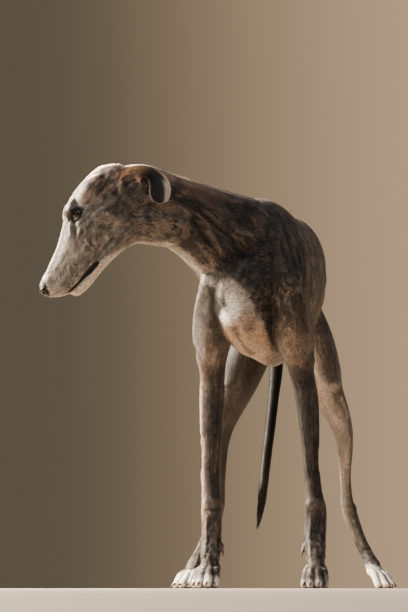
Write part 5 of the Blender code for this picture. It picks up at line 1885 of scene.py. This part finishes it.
@dataclass(frozen=True)
class Ear:
    """A folded-back ear: a trough that opens outward, bent over so that its flap hangs behind the fold."""

    side: Side
    leading: tuple = (
        (0.1299, 0.1548, 0.020, 0.004),
        (0.1301, 0.1721, 0.037, 0.009),
        (0.1371, 0.1905, 0.047, 0.012),
        (0.1526, 0.1983, 0.051, 0.013),
        (0.1714, 0.1990, 0.053, 0.013),
        (0.1882, 0.1952, 0.055, 0.012),
        (0.2020, 0.1869, 0.057, 0.010),
        (0.2118, 0.1736, 0.059, 0.008),
        (0.2157, 0.1584, 0.060, 0.007),
        (0.2117, 0.1404, 0.060, 0.005),
        (0.2017, 0.1354, 0.060, 0.003),
    )
    trailing: tuple = (
        (0.1719, 0.1548, 0.020, 0.004),
        (0.1681, 0.1701, 0.037, 0.009),
        (0.1662, 0.1746, 0.046, 0.012),
        (0.1677, 0.1790, 0.050, 0.013),
        (0.1715, 0.1817, 0.052, 0.013),
        (0.1763, 0.1794, 0.054, 0.012),
        (0.1790, 0.1719, 0.057, 0.010),
        (0.1798, 0.1626, 0.059, 0.008),
        (0.1797, 0.1504, 0.060, 0.007),
        (0.1847, 0.1404, 0.060, 0.005),
        (0.1937, 0.1359, 0.060, 0.003),
    )
    thickness: float = 0.0026
    right_out: float = 0.012
    across: int = 22
    thickness: float = 0.0026
    right_out: float = 0.012
    across: int = 22
    fold: float = 0.0017
    folds_across: float = 23.0
    rolled_rim: float = 0.0016

    def shell(self) -> tuple[Shell, Array, Array]:
        """The ear's wall: an inner sheet sunk by h (1 - (2s - 1)²) across, and an outer sheet behind it.

        Returns:
            The shell, each point's share across from the rear edge, and whether it is on the inner sheet.
        """
        leading, trailing = smooth_rows(self.leading, 5), smooth_rows(self.trailing, 5)
        along = np.linspace(0, 1, len(leading))
        if self.side is Side.RIGHT:
            leading[:, 2] += self.right_out * along
            trailing[:, 2] += self.right_out * along
        share, along = np.linspace(0, 1, self.across), along[:, None]
        grid = mix(trailing[:, None], leading[:, None], share[None, :, None])
        folds = self.fold * np.sin(share * self.folds_across + 9 * along) * ease(0.55, 0.15, along)
        hollow = grid[..., 3] * (1 - (2 * share[None] - 1) ** 2) + folds * np.sin(math.pi * share)[None]
        thick = 0.30 + 0.70 * np.sin(math.pi * np.clip(share, 0.06, 0.94))
        wall = self.thickness * thick[None] * np.ones_like(hollow)
        roll = self.rolled_rim * np.exp(-(((share - 0.97) / 0.05) ** 2))[None] * ease(1.0, 0.8, along)
        back, up, out = grid[..., 0], grid[..., 1], grid[..., 2] - hollow
        inner, outer = (HEAD.level(back, up, self.side.value * (out + more)) for more in (roll, -wall))
        rings = np.concatenate([inner, outer[:, ::-1]], axis=1)
        shares = np.tile(np.concatenate([share, share[::-1]]), len(rings))
        inside = np.tile(np.concatenate([np.ones(self.across), np.zeros(self.across)]), len(rings))
        return loft(rings), np.append(shares, (0.5, 0.5)), np.append(inside, (0.5, 0.5))

    def colour(self, points: Array, share: Array, inside: Array) -> Array:
        """Colours of the ear: tan outside, fleshy inside, a dark inside of the flap that is partly painted shade,
        painted shade in the hollow, and a rim and front band painted pale as highlight.

        Args:
            points: the shell's points.
            share: place across from the rear edge.
            inside: 1 on the inner sheet.

        Returns:
            Linear colours.
        """
        tone = PALETTE.tones()
        count = (len(share) - 2) // (2 * self.across)
        along = np.append(np.repeat(np.linspace(0, 1, count), 2 * self.across), (0, 1))[:, None]
        share, inside = share[:, None], inside[:, None]
        patch = ease(0.35, 0.65, layered_noise(points / 0.010, 5, 3)[:, None])
        outer = mix(tone["orange"] * 1.3, tone["tan"] * 0.8, patch)
        fleshy = ease(0.24, 0.32, along) * ease(0.50, 0.42, along) * ease(0.45, 0.15, share)
        fleshy = fleshy * (0.5 + 0.5 * np.sin(share * self.folds_across))
        inner = mix(outer, tone["pink"], 0.7 * fleshy)
        # Towards the flap the inner face darkens: partly its dark skin, partly painted shade.
        inner = mix(inner, tone["dark"] * 0.9, ease(0.34, 0.50, along))
        # Painted shade: black in the hollow at the base of the flap's inner face.
        hollow_shade = ease(0.50, 0.15, share) * ease(0.22, 0.38, along) * ease(0.62, 0.50, along)
        colour = mix(outer, mix(inner, tone["black"], hollow_shade), inside)
        # Painted highlight: a pale band on the inner face near the flap's front edge.
        band = ease(0.66, 0.80, share) * inside * ease(0.62, 0.74, along)
        colour = mix(colour, tone["cream"] * 0.85, 0.9 * band)
        # Painted highlight: pale rims along both edges, strongest on the flap.
        rim = np.maximum(ease(0.86, 0.97, share), ease(0.10, 0.02, share)) * (0.12 + 0.88 * ease(0.46, 0.62, along))
        return mix(colour, tone["cream"] * 0.75 + tone["pink"] * 0.15, 0.85 * rim)

    def build(self, hide: bpy.types.Material) -> bpy.types.Object:
        """Makes and paints the ear.

        Args:
            hide: the ear's material.

        Returns:
            The object.
        """
        shell, share, inside = self.shell()
        made = placed(f"earflap_{self.side.label}", shell.mesh("earflap"))
        paint_points(made.data, "markings", self.colour(shell.points, share, inside))
        made.data.materials.append(hide)
        return made


@dataclass(frozen=True)
class Eye:
    """An eyeball with a bulged cornea, a brown iris, and lids round it."""

    side: Side
    iris: float = 0.0056
    pupil: float = 0.0022
    bulge: float = 0.0007
    opening: tuple[float, float] = (0.0104, 0.0058)
    narrow: float = 0.22
    lip_high: float = 0.0011
    lip_wide: float = 0.0019
    iris_tone: str = "#21160f"
    ring_tone: str = "#1a1210"
    white_tone: str = "#8f7a6c"

    def ball(self, gloss: bpy.types.Material) -> bpy.types.Object:
        """The eyeball: a ball about its looking direction, raised by a bell over the iris.

        Args:
            gloss: the eye's material.

        Returns:
            The object, with the iris painted by the angle from the middle.
        """
        axes, centre = SKULL.eye_axes(self.side), SKULL.eye_centre(self.side)
        v = np.linspace(0.02, math.pi - 0.02, 56)[:, None]
        u = round_turn(64)[None]
        out = SKULL.eye_radius * np.sin(v)
        bell = self.bulge * np.exp(-((out / self.iris) ** 4)) * (np.cos(v) > 0)
        radius = SKULL.eye_radius - 0.0002 + bell
        grid = np.stack([np.sin(v) * np.cos(u), np.sin(v) * np.sin(u), np.cos(v) + 0 * u], -1)
        shell = loft(centre + radius[..., None] * grid @ axes)
        made = placed(f"eyeball_{self.side.label}", shell.mesh("eyeball"))
        rel = (shell.points - centre) @ axes.T
        ring = np.hypot(rel[:, 0], rel[:, 1]) + np.where(rel[:, 2] < 0, 0.02, 0)
        spokes = np.column_stack([np.arctan2(rel[:, 1], rel[:, 0]) * 7, ring * 400, 0 * ring])
        fibre = 0.75 + 0.5 * lattice_noise(spokes, 9)
        ring = ring[:, None]
        tones = (self.iris_tone, self.ring_tone, self.white_tone)
        iris, limbal, white = (np.array(hex_linear(code)) for code in tones)
        colour = iris * fibre[:, None] * ease(self.pupil * 0.9, self.pupil * 1.15, ring) + 0.002
        colour = mix(colour, limbal, ease(self.iris * 0.82, self.iris, ring))
        colour = mix(colour, white, ease(self.iris * 1.02, self.iris * 1.25, ring))
        paint_points(made.data, "markings", colour)
        made.data.materials.append(gloss)
        return made

    def lids(self, rim: bpy.types.Material) -> bpy.types.Object:
        """The lid rims: a rounded lip carried round the almond, close on the eyeball.

        Args:
            rim: the dark bare skin of the lids.

        Returns:
            The object.
        """
        axes, centre = SKULL.eye_axes(self.side), SKULL.eye_centre(self.side)
        t, w = round_turn(72), round_turn(14)
        high = self.opening[1] * np.sin(t) * (1 - self.narrow * np.cos(t) ** 2)
        flat = np.column_stack([self.opening[0] * np.cos(t), high, 0 * t])
        reach = SKULL.eye_radius + 0.0005
        middle = flat + np.sqrt(np.maximum(reach**2 - (flat**2).sum(1), 1e-6))[:, None] * (0, 0, 1)
        outward = unit(middle)
        away = unit(flat - outward * (flat * outward).sum(1, keepdims=True))
        rings = middle[:, None] + away[:, None] * self.lip_wide * (0.55 + np.cos(w))[None, :, None]
        rings = rings + outward[:, None] * self.lip_high * np.sin(w)[None, :, None]
        count, around = rings.shape[:2]
        i, j = np.meshgrid(np.arange(count), np.arange(around), indexing="ij")
        n, k = (i + 1) % count, (j + 1) % around
        quads = np.stack([i * around + j, i * around + k, n * around + k, n * around + j], -1).reshape(-1, 4)
        shell = Shell(centre + rings.reshape(-1, 3) @ axes, [quads]).outward()
        made = placed(f"eyelids_{self.side.label}", shell.mesh("eyelids"))
        made.data.materials.append(rim)
        return made


@dataclass(frozen=True)
class Tufts:
    """Joined tufts over the skin: tapered blades that lie along the coat and lift a little at their tips."""

    count: int = 140000
    quick_count: int = 30000
    per_piece: int = 50000
    length: float = 0.0080
    width: float = 0.0010
    lift: float = 0.0007
    patch: float = 0.003
    seed: int = 7
    root_depth: float = 0.0004
    floor_gap: float = 0.0004
    tile_edge: float = 0.03

    def roots(self, points: Array, faces: Array, normals: Array, form: Array, many: int) -> tuple[Array, ...]:
        """Random places on the skin: a face by its area and wanted thickness of coat, then a place in it.

        Args:
            points: the skin's points.
            faces: its triangles.
            normals: its point normals.
            form: the painted shade and highlight of each point by form.
            many: how many tufts.

        Returns:
            Roots, their normals, the change of the normal along each of the three axes, and the painted form shade.
        """
        rng = np.random.default_rng(self.seed)
        a, b, c = (points[faces[:, k]] for k in range(3))
        area = np.linalg.norm(np.cross(b - a, c - a), axis=1)
        middle = (a + b + c) / 3
        back, up, left = HEAD.local(middle).T
        head = (back < 0.24) & (back > -0.02) & (np.abs(left) < 0.07) & (up > -0.11)
        thick = np.where(head, np.where(back < 0.020, 0.0, 1.6), 1.0)
        for side in Side:
            near = np.linalg.norm(middle - SKULL.eye_centre(side), axis=1)
            thick = np.where(near < 0.0175, 0.0, thick)
        thick = np.where(middle[:, 2] < 0.006, 0.0, thick)
        total = np.cumsum(area * thick)
        pick = np.searchsorted(total, rng.random(many) * total[-1])
        u, v = rng.random((2, many))
        flip = u + v > 1
        u, v = np.where(flip, 1 - u, u), np.where(flip, 1 - v, v)
        part = np.stack([1 - u - v, u, v], 1)[..., None]
        corners, turns = points[faces[pick]], normals[faces[pick]]
        edges = corners[:, 1:] - corners[:, :1]
        change = np.linalg.pinv(edges, rcond=0.05) @ (turns[:, 1:] - turns[:, :1])
        shade = (form[faces[pick]] * part[..., 0]).sum(1)
        return (corners * part).sum(1), unit((turns * part).sum(1)), change, shade

    def lengths(self, roots: Array, normals: Array, found: Located) -> Array:
        """Hair length by place: shortest on face and feet, longer behind the thighs, under tail and neck."""
        share = {name: found.weights[:, i] for i, name in enumerate(LINES.names)}
        back = HEAD.local(roots)[:, 0]
        size = np.ones(len(roots))
        size -= 0.45 * share["head"] + 0.20 * share["head"] * ease(0.12, 0.05, back)
        size -= 0.40 * ease(0.10, 0.03, roots[:, 2])
        hind = share["hind_left"] + share["hind_right"]
        size += 0.9 * hind * ease(0.35, 0.8, normals[:, 1]) * ease(0.38, 0.46, roots[:, 2])
        size += 0.7 * share["tail"] * ease(0.15, 0.8, normals[:, 1])
        size += 0.5 * share["trunk"] * ease(-0.7, -0.97, normals[:, 2]) * ease(0.42, 0.25, roots[:, 1])
        size += 0.4 * share["neck"] * ease(0.8, 0.98, np.abs(normals[:, 2]))
        fore = share["fore_left"] + share["fore_right"]
        size += 0.5 * fore * ease(0.5, 0.9, normals[:, 1]) * ease(0.20, 0.30, roots[:, 2])
        return self.length * size

    def blades(
        self, roots: Array, normals: Array, change: Array, lie: Array, size: Array, rng: np.random.Generator
    ) -> tuple[Array, ...]:
        """Five points a tuft: root pair, middle pair and tip, on root + lie t + normal (H t - k t²/2).

        Here k is the skin's own curve along the tuft, so that long hair bends with the skin.

        Args:
            roots: where each tuft grows.
            normals: outward there.
            change: change of the normal along each axis, which bends the tuft with the skin.
            lie: the way that the hair runs.
            size: length of each.
            rng: the random draws.

        Returns:
            Points, quads and triangles.
        """
        many = len(roots)
        turn = rng.normal(0, 0.16, many)[:, None]
        side = np.cross(normals, lie)
        way = unit(lie * np.cos(turn) + side * np.sin(turn))
        side = np.cross(normals, way)
        lift = self.lift * (0.55 + 0.9 * rng.random(many))[:, None] * (size / self.length)[:, None] ** 0.5
        wide = (self.width * (0.7 + 0.6 * rng.random(many)) * np.clip(size / self.length, 0.55, 1.3))[:, None]
        long = size[:, None] * (0.75 + 0.5 * rng.random(many))[:, None]
        curve = np.einsum("ni,nij,nj->n", way, change, way).clip(-25, 60)[:, None]
        base = roots - normals * self.root_depth
        waist = roots + way * long * 0.45 + normals * (lift * 0.55 - curve * (0.45 * long) ** 2 / 2)
        tip = roots + way * long + normals * (lift * 0.75 - curve * long**2 / 2)
        half, slim = side * wide * 0.5, side * wide * 0.42
        points = np.stack([base - half, base + half, waist + slim, waist - slim, tip], 1)
        start = np.arange(many)[:, None] * 5
        return points.reshape(-1, 3), start + np.array((0, 1, 2, 3)), start + np.array((3, 2, 4))

    def bake_map(self, found: Located) -> Array:
        """Each tuft's patch on an unwrap of the skin: place along its line by angle round it, a tile a line."""
        line = found.nearest
        pick = np.arange(len(line))
        along = found.along[pick, line]
        reach = np.array([np.linalg.norm(np.diff(rows[:, :3], axis=0), axis=1).sum() for rows in LINES.lines])
        tangent = np.array([unit(rows[-1, :3] - rows[0, :3]) for rows in LINES.lines])[line]
        first = unit(np.cross(tangent, (0.31, 0.22, 0.92)))
        second = np.cross(tangent, first)
        gap = found.offset[pick, line]
        angle = np.arctan2((gap * second).sum(1), (gap * first).sum(1)) / (2 * math.pi) + 0.5
        room = 1 - 2 * self.tile_edge
        u = (line % 3 + self.tile_edge + room * angle) / 3
        v = (line // 3 + self.tile_edge + room * np.clip(along / reach[line], 0, 1)) / 3
        corner = np.array(((-1, -1), (1, -1), (1, 0), (-1, 0), (0, 1))) * self.patch / 2
        return (np.column_stack([u, v])[:, None] + corner).reshape(-1, 2)

    def build(self, skin: bpy.types.Object, hair: bpy.types.Material) -> list[bpy.types.Object]:
        """Grows the tufts on the skin.

        Args:
            skin: the finished skin.
            hair: the tufts' material.

        Returns:
            The coat's pieces.
        """
        rng = np.random.default_rng(self.seed + 1)
        points, _, faces = read(skin.data)
        normals = vertex_normals(points, faces)
        many = self.count
        form = np.zeros(len(points), np.float32)
        skin.data.attributes["form"].data.foreach_get("value", form)
        roots, outward, change, form = self.roots(points, faces, normals, form, many)
        order = np.argsort(roots[:, 1])
        roots, outward, change, form = roots[order], outward[order], change[order], form[order]
        made = []
        for number, start in enumerate(range(0, many, self.per_piece), 1):
            part = slice(start, start + self.per_piece)
            r, n = roots[part], outward[part]
            found = LINES.locate(r)
            lie = coat_lie(n, found)
            blade, quads, tris = self.blades(r, n, change[part], lie, self.lengths(r, n, found), rng)
            blade[:, 2] = np.maximum(blade[:, 2], self.floor_gap)
            colour = MARKINGS.colour(r, n, found)[0]
            # Each tuft's colour: its markings, times a random tint and the painted shade and highlight by form.
            tint = ((0.45 + 1.10 * rng.random(len(r))) * form[part])[:, None]
            mesh = Shell(blade, [quads, tris]).mesh(f"coat_{number}")
            paint_points(mesh, "markings", np.repeat(colour * tint, 5, axis=0))
            corners = np.zeros(len(mesh.loops), np.int32)
            mesh.loops.foreach_get("vertex_index", corners)
            layer = mesh.uv_layers.new(name="OFBake")
            layer.data.foreach_set("uv", self.bake_map(found)[corners].astype(np.float32).ravel())
            mesh.materials.append(hair)
            made.append(placed(f"coat_{number}", mesh))
        return made


@dataclass(frozen=True)
class Studio:
    """The camera at the photo's angle, a plain pale floor and soft light from the dog's right and rear."""

    eye: tuple[float, float, float] = (0.4633, -3.3362, 0.0015)
    pitch: float = math.radians(98.904)
    turn: float = math.radians(9.0)
    sensor: float = 36.0
    lens: float = 1800 / 612 * 36
    look: str = "AgX - Medium High Contrast"
    backdrop: str = "#625a4d"
    backdrop_lit: str = "#b89f84"
    surround: str = "#8c8e92"
    floor: str = "#9c9286"
    floor_light: str = "#a59c90"
    floor_radius: float = 14.0
    lamps: tuple = (
        ("key", (-2.6, -0.25, 1.95), 0.9, 470, "#fff0de"),
        ("window", (-1.2, -3.0, 2.4), 2.4, 16, "#e3eaf5"),
        ("rim", (-1.3, 1.9, 2.6), 1.0, 250, "#ffe6cc"),
    )

    def camera(self) -> None:
        """The photo's camera: upright frame, long lens, low and looking slightly up."""
        data = bpy.data.cameras.new("camera")
        data.sensor_fit = "VERTICAL"
        data.sensor_height = self.sensor
        data.lens = self.lens
        made = bpy.data.objects.new("camera", data)
        made.location = self.eye
        made.rotation_euler = (self.pitch, 0, self.turn)
        bpy.context.scene.collection.objects.link(made)
        bpy.context.scene.camera = made
        bpy.context.scene.view_settings.look = self.look

    def ground(self) -> None:
        """A wide round floor, plain and pale, with a matt finish that is a little uneven in tone."""
        t, r = round_turn(96), self.floor_radius
        shell = loft(np.stack([np.stack([r * np.cos(t), r * np.sin(t), 0 * t + z], 1) for z in (0, -0.02)]))
        made = placed("floor", shell.mesh("floor"))
        made.data.polygons.foreach_set("use_smooth", np.zeros(len(made.data.polygons), bool))
        finish, tree, shader = new_material("matt_studio_floor")
        place = add_node(tree, "TexCoord").outputs["Object"]
        grain = add_node(tree, "TexNoise", {"Vector": place, "Scale": 30.0, "Detail": 4.0}).outputs[0]
        tones = {0: grain, 6: opaque(self.floor), 7: opaque(self.floor_light)}
        tone = add_node(tree, "Mix", tones, data_type="RGBA").outputs[2]
        wire(tree, shader, {"Base Color": tone, "Roughness": 0.8})
        made.data.materials.append(finish)

    def light(self, name: str, place: Sequence[float], size: float, power: float, colour: str) -> None:
        """Adds a round soft light that faces the dog's middle.

        Args:
            name: the light's name.
            place: where it stands.
            size: how wide it is.
            power: in watts.
            colour: as hex.
        """
        data = bpy.data.lights.new(name, "AREA")
        data.shape = "DISK"
        data.size = size
        data.energy = power
        data.color = hex_linear(colour)
        made = bpy.data.objects.new(name, data)
        made.location = place
        way = Vector((0.0, 0.0, 0.45)) - Vector(place)
        made.rotation_euler = way.to_track_quat("-Z", "Y").to_euler()
        bpy.context.scene.collection.objects.link(made)

    def lights(self) -> None:
        """A warm key from the dog's right, a weak window in front, a warm rim from behind, and the surround.

        The surround is grey, with the backdrop's two tones in its far part, lighter to the picture's right.
        """
        for row in self.lamps:
            self.light(*row)
        world = bpy.data.worlds.new("surround")
        bpy.context.scene.world = world
        world.use_nodes = True
        tree = world.node_tree
        way = add_node(tree, "TexCoord").outputs["Generated"]
        across, ahead = add_node(tree, "SeparateXYZ", {0: way}).outputs[:2]
        soft = {"interpolation_type": "SMOOTHSTEP"}
        behind = add_node(tree, "MapRange", {0: ahead, 1: 0.70, 2: 0.88}, **soft).outputs[0]
        share = add_node(tree, "MapRange", {0: across, 1: -0.25, 2: 0.0}, **soft).outputs[0]
        tones = {0: share, 6: opaque(self.backdrop), 7: opaque(self.backdrop_lit)}
        tone = add_node(tree, "Mix", tones, data_type="RGBA").outputs[2]
        mixed = {0: behind, 6: opaque(self.surround), 7: tone}
        wire(tree, tree.nodes["Background"], {0: add_node(tree, "Mix", mixed, data_type="RGBA").outputs[2]})


def report(piece: bpy.types.Object) -> None:
    """Logs a piece's name and its triangles."""
    log.info("%s: %d triangles", piece.name, sum(len(face.vertices) - 2 for face in piece.data.polygons))


def main() -> None:
    """Builds the dressed greyhound piece by piece."""
    logging.basicConfig(level=logging.INFO, format="%(message)s")
    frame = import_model()
    nodes = sorted(frame["nodes"])
    flesh = [n for n in nodes if not n.startswith(("claw_", "eye_", "ear_"))]
    skin_part = Skin()
    skin = skin_part.build()
    skin_part.dress(skin, SleekCoat().material())
    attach(skin, "root")
    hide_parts(*flesh)
    report(skin)
    hide, gloss, rim, horn = (finish.material() for finish in (THIN_HIDE, WetEye(), LID_SKIN, CLAW_HORN))
    for side in Side:
        flap = Ear(side).build(hide)
        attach(flap, "root")
        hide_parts(f"ear_{side.label}")
        report(flap)
        eyeball = Eye(side).ball(gloss)
        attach(eyeball, "root")
        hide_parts(f"eye_{side.label}")
        report(eyeball)
        lids = Eye(side).lids(rim)
        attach(lids, "root")
        report(lids)
    for paw in PAWS:
        claws = placed(f"claws_{paw.label}", paw.claws().mesh("claws"))
        claws.data.materials.append(horn)
        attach(claws, "root")
        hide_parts(*[n for n in nodes if n.startswith(f"claw_{paw.label}_")])
        report(claws)
    for piece in Tufts().build(skin, HAIR_TUFT.material()):
        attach(piece, "root")
        report(piece)
    studio = Studio()
    studio.camera()
    studio.ground()
    studio.lights()


if __name__ == "__main__":
    main()
